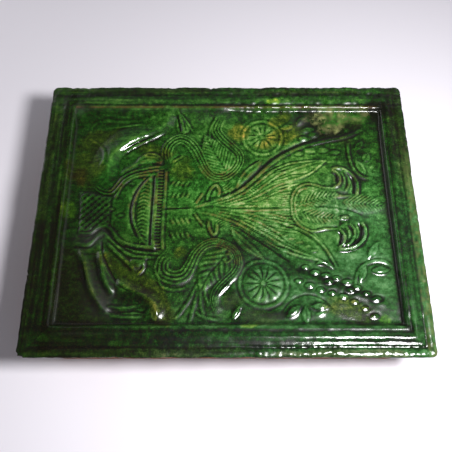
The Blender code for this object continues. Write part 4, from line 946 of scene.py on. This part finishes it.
def fired_clay(tree):
    """Coarse red earthenware: warm brown, with dark grit in it and patches of pale scum."""
    place = add(tree, "TexCoord", {}, {}, "Object")
    coarse_noise = {"Vector": place, "Scale": 1 / (GRIT * MM), "Detail": 3.0, "Roughness": 0.7}
    grit = add(tree, "TexNoise", {}, coarse_noise, "Fac")
    broad_noise = {"Vector": place, "Scale": 1 / (SCUM * MM), "Detail": 4.0, "Roughness": 0.6}
    scum = add(tree, "TexNoise", {}, broad_noise, "Fac")
    pale = add(tree, "Math", SHARE, {0: scum, 1: 2.4, 2: -0.8})
    body = add(tree, "Mix", LAID_OVER, {0: pale, 6: paint("#7c4a30"), 7: paint("#9a6a4a")}, 2)
    dark = add(tree, "Math", SHARE, {0: grit, 1: 3.0, 2: -1.5})
    return add(tree, "Mix", LAID_OVER, {0: dark, 6: body, 7: paint("#5a3423")}, 2), grit


# Lead glaze coloured with copper: clear grass green over the slip where it is thin, nearly black
# where it pooled, with rusty specks from the clay and a wet gloss. Its IOR is 1.5, low for lead glass.
SPECK = 1 / 1.3  # mm, the specks in the glaze
CLOUD = 1 / 0.26  # mm, its thicker and thinner spots
THIN_GLAZE = "#909e66"
DEEPER = [
    (0.18, "#567f37"), (0.34, "#386524"), (0.50, "#1f4a12"),
    (0.64, "#103508"), (0.82, "#071b04"), (1.0, "#050b04"),
]
STAINS = {  # how much of the green's red, green and blue each one lets through
    "teal": (1.02, 0.95, 2.1, 1),
    "earth": (1.12, 0.88, 0.92, 1),
    "olive": (2.35, 0.96, 0.72, 1),
    "yellow": (2.6, 1.7, 0.9, 1),
    "leafy": (0.72, 1.03, 0.9, 1),
    "brown": (1.5, 0.75, 1.0, 1),
}
lead_glaze, tree, shader = finish("Green lead glaze")
stored = {
    name: add(tree, "Attribute", {"attribute_name": name}, {}, "Fac") for name in [*coat, "unglazed"]
}
place = add(tree, "TexCoord", {}, {}, "Object")
fine_noise = {"Vector": place, "Scale": 1 / (SPECK * MM), "Detail": 3.0, "Roughness": 0.65}
speckle = add(tree, "TexNoise", {}, fine_noise, "Fac")
rust = add(tree, "SeparateColor", {}, {0: speckle.node.outputs["Color"]}, "Green")
broad_noise = {"Vector": place, "Scale": 1 / (CLOUD * MM), "Detail": 3.0, "Roughness": 0.6}
cloud = add(tree, "TexNoise", {}, broad_noise, "Fac")
grain = add(tree, "Math", {"operation": "ADD"}, {0: speckle, 1: cloud})
centred = add(tree, "Math", {"operation": "SUBTRACT"}, {0: grain, 1: 1.0})
unevenness = add(tree, "Math", TIMES_AND_PLUS, {0: stored["coarse"], 1: 0.4, 2: 0.5})
depth = add(tree, "Math", TIMES_AND_PLUS, {0: centred, 1: unevenness, 2: stored["glaze"]})
colour = add(tree, "ValToRGB", {}, {0: depth}, "Color")
stops = colour.node.color_ramp.elements
stops.remove(stops[1])
stops[0].color = paint(THIN_GLAZE)
for position, code in DEEPER:
    stops.new(position).color = paint(code)
for name, tint in STAINS.items():
    colour = add(tree, "Mix", WASH, {0: stored[name], 6: colour, 7: tint}, 2)
rusty = add(tree, "Math", SHARE, {0: rust, 1: 2.0, 2: -1.0})
colour = add(tree, "Mix", LAID_OVER, {0: rusty, 6: colour, 7: paint("#33280e")}, 2)
ragged = add(tree, "Math", SHARE, {0: grain, 1: 5.0, 2: -4.3})
flaked = add(tree, "Math", TIMES, {0: stored["bare"], 1: ragged})
colour = add(tree, "Mix", LAID_OVER, {0: flaked, 6: colour, 7: paint("#747a48")}, 2)
clay_shows = add(tree, "Math", TIMES, {0: stored["clay_lines"], 1: 0.6})
colour = add(tree, "Mix", LAID_OVER, {0: clay_shows, 6: colour, 7: paint("#5f4322")}, 2)
clay_colour, grit = fired_clay(tree)
colour = add(tree, "Mix", LAID_OVER, {0: stored["unglazed"], 6: colour, 7: clay_colour}, 2)
tree.links.new(colour, shader.inputs["Base Color"])
matt = add(tree, "Math", TIMES_AND_PLUS, {0: stored["gloss"], 1: -0.12, 2: 0.17})
matt = add(tree, "Math", TIMES_AND_PLUS, {0: cloud, 1: 0.14, 2: matt})
matt = add(tree, "Math", TIMES_AND_PLUS, {0: stored["unglazed"], 1: 0.6, 2: matt})
tree.links.new(matt, shader.inputs["Roughness"])
tooth = add(tree, "Math", TIMES, {0: grain, 1: stored["coarse"]})
bump = add(tree, "Bump", {}, {"Strength": 0.45, "Distance": 0.12 * MM, "Height": tooth})
tree.links.new(bump, shader.inputs["Normal"])
shader.inputs["IOR"].default_value = 1.5
tile_mesh.materials.append(lead_glaze)
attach(tile, "root")
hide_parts("stove_tile")


# ---------------------------------------------------------------- the collar behind the face
# A wall of the same clay, thrown on the wheel, squared, and luted to the slab's back with slip. Its
# turned-out rim holds the tile in the stove's mortar. It has no glaze, and the fire smoked its inside.

SETBACK = 9.0  # from the slab's edge
OUTER_CORNER = 12.0
AROUND = 260  # points round the wall
WALL_LENGTH = 870.0  # all the way round
SOOT_SETS_IN = (16, 20)  # points of the section: none up to the first, all of it from the second
COLLAR_SECTION = [  # distance out from the wall's outer face, height over the rim's foot
    (0.0, PLATE_BACK + 2.0), (3.2, PLATE_BACK), (1.6, PLATE_BACK - 0.9),  # the luting's outer fillet
    (0.5, PLATE_BACK - 2.6), (0.0, PLATE_BACK - 5.5), (0.0, PLATE_BACK - 11),
    (-0.1, 17.0), (0.0, 12.5), (0.5, 9.6), (1.6, 7.4), (2.3, 5.4), (2.5, 3.2),  # the wall's outside
    (2.2, 1.2), (1.2, 0.25), (-0.8, 0.0), (-3.4, 0.0), (-4.9, 0.4), (-5.5, 1.8),  # the rim's foot
    (-5.7, 4.2), (-6.8, 7.2), (-7.8, 10.0), (-8.0, 14.0), (-8.1, 20.0),  # the wall's inside
    (-8.0, PLATE_BACK - 8), (-8.6, PLATE_BACK - 4), (-10.2, PLATE_BACK - 1.3),
    (-13.0, PLATE_BACK - 0.1), (-14.0, PLATE_BACK + 2.0),  # the luting's inner fillet
]


def squared_ring(outward):
    """Even points anticlockwise round the wall, a rectangle with round corners."""
    radius = OUTER_CORNER + outward
    straight_x = FACE_LENGTH / 2 - SETBACK - OUTER_CORNER
    straight_y = FACE_WIDTH / 2 - SETBACK - OUTER_CORNER
    bend = math.pi / 2 * OUTER_CORNER
    sides = [
        (0, 2 * straight_y, (straight_x, -straight_y)),
        (1, 2 * straight_x, (straight_x, straight_y)),
        (2, 2 * straight_y, (-straight_x, straight_y)),
        (3, 2 * straight_x, (-straight_x, -straight_y)),
    ]
    places = []
    for run in np.linspace(0, 4 * (straight_x + straight_y + bend), AROUND, endpoint=False):
        for quarter, side, start in sides:
            along = min(run, side)
            cos, sin = math.cos(math.pi / 2 * quarter), math.sin(math.pi / 2 * quarter)
            angle = math.pi / 2 * quarter + max(run - side, 0) / OUTER_CORNER
            if run < side + bend:
                px = start[0] - along * sin + radius * math.cos(angle)
                py = start[1] + along * cos + radius * math.sin(angle)
                places.append((px, py))
                break
            run -= side + bend
    return np.array(places)


rings = []
for outward, height_up in COLLAR_SECTION:
    ring = squared_ring(outward)
    run = np.linspace(0, WALL_LENGTH, AROUND, endpoint=False)
    level = np.full(AROUND, height_up)
    seam = rise(np.minimum(run, WALL_LENGTH - run), 0, 40)
    fingers = 0.25 * wander(run, level, 6, 81, 3) + 0.25 * wander(run, level, 22, 82)
    dents = abs(fingers * seam) * (0 < height_up < PLATE_BACK)
    ring -= ring / np.linalg.norm(ring, axis=1)[:, None] * dents[:, None]
    waver = np.clip(0.5 * wander(run, 0 * level, 60, 83), 0, 1) * seam * (height_up < 8)
    rings.append(np.column_stack([ring, level + waver]))
steps = len(COLLAR_SECTION)
index = np.arange(steps * AROUND).reshape(steps, AROUND)
below = np.roll(index, -1, axis=0)
quads = np.stack([index, below, np.roll(below, -1, axis=1), np.roll(index, -1, axis=1)], axis=-1)
collar_mesh = bpy.data.meshes.new("collar_of_clay")
collar_mesh.from_pydata((np.vstack(rings) * MM).tolist(), [], quads.reshape(-1, 4).tolist())
collar_mesh.update()
for polygon in collar_mesh.polygons:
    polygon.use_smooth = True
store(collar_mesh, "smoked", np.repeat(rise(np.arange(steps), *SOOT_SETS_IN), AROUND))
collar = put("fired_collar", collar_mesh)

# Red earthenware as it came from the kiln: dry and matt, gritty to the touch, and black with soot on
# the side that faces the fire.
SOOT = 1 / 0.03  # mm, the patches of soot
smoked_clay, tree, shader = finish("Smoked red earthenware")
clay_colour, grit = fired_clay(tree)
place = add(tree, "TexCoord", {}, {}, "Object")
soot = add(tree, "TexNoise", {}, {"Vector": place, "Scale": 1 / (SOOT * MM), "Detail": 4.0}, "Fac")
patchy = add(tree, "Math", SHARE, {0: soot, 1: 2.2, 2: -0.5})
smoked = add(tree, "Attribute", {"attribute_name": "smoked"}, {}, "Fac")
smoked = add(tree, "Math", TIMES, {0: smoked, 1: patchy})
colour = add(tree, "Mix", LAID_OVER, {0: smoked, 6: clay_colour, 7: paint("#1d1815")}, 2)
tree.links.new(colour, shader.inputs["Base Color"])
bump = add(tree, "Bump", {}, {"Strength": 0.5, "Distance": 0.3 * MM, "Height": grit})
tree.links.new(bump, shader.inputs["Normal"])
shader.inputs["Roughness"].default_value = 0.88
collar_mesh.materials.append(smoked_clay)
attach(collar, "root")
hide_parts("stove_tile")


# ---------------------------------------------------------------- the table
# A plain board with a coat of pale, slightly cool matt paint, which the tile lies on.

bpy.ops.mesh.primitive_plane_add(size=6, location=(0, 0, tile_low.z))
table = bpy.context.object
table.name = "table_top"
pale_paint, tree, shader = finish("Pale painted board")
shader.inputs["Base Color"].default_value = paint("#e2dee6")
shader.inputs["Roughness"].default_value = 0.7
table.data.materials.append(pale_paint)
table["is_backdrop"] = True


# ---------------------------------------------------------------- light and camera
# A small round lamp over the tile's near right, a weak wide one low at the far left, and a grey studio
# round them, darker overhead and brighter on the right. The camera looks down from the near side.


def lamp(name, place, aim, size, power):
    """A round lamp of a size in metres, turned towards a place."""
    light = bpy.data.lights.new(name, "AREA")
    light.shape = "DISK"
    light.size = size
    light.energy = power
    holder = put(name, light)
    holder.location = place
    holder.rotation_euler = (Vector(place) - Vector(aim)).to_track_quat("Z", "Y").to_euler()


lamp("Lamp", place=(0.185, -0.12, 0.42), aim=(0.02, -0.02, 0.04), size=0.105, power=3.6)
lamp("Fill", place=(-0.5, 0.32, 0.13), aim=(-0.15, 0.08, 0.0), size=0.5, power=0.8)

studio = bpy.data.worlds.new("Studio")
studio.use_nodes = True
tree = studio.node_tree
way = add(tree, "TexCoord", {}, {}, "Generated")
upward = add(tree, "SeparateXYZ", {}, {0: way}, "Z")
sky = add(tree, "ValToRGB", {}, {0: upward}, "Color")
stops = sky.node.color_ramp.elements
stops.remove(stops[1])
stops[0].color = (0.3, 0.3, 0.3, 1)
for position, grey in [(0.35, 0.3), (0.56, 0.27), (0.74, 0.16), (1.0, 0.085)]:
    stops.new(position).color = (grey, grey, grey, 1)
sideways = add(tree, "Math", TIMES_AND_PLUS, {0: upward.node.outputs["X"], 1: 0.6, 2: 0.9})
bright = add(tree, "Math", TIMES, {0: sky, 1: sideways})
tree.links.new(bright, tree.nodes["Background"].inputs["Strength"])
tree.nodes["Background"].inputs["Color"].default_value = (0.95, 0.95, 1.0, 1)
bpy.context.scene.world = studio
bpy.context.scene.view_settings.view_transform = "Standard"

camera = put("Camera", bpy.data.cameras.new("Camera"))
camera.data.lens = 43.45
camera.data.clip_start = 0.01
camera.location = (-0.0005, -0.1597, tile_high.z + 0.3511)
LOOKS_DOWN = 67.43  # degrees below the level
camera.rotation_euler = (math.radians(90 - LOOKS_DOWN), 0, 0)
bpy.context.scene.camera = camera

low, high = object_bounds()
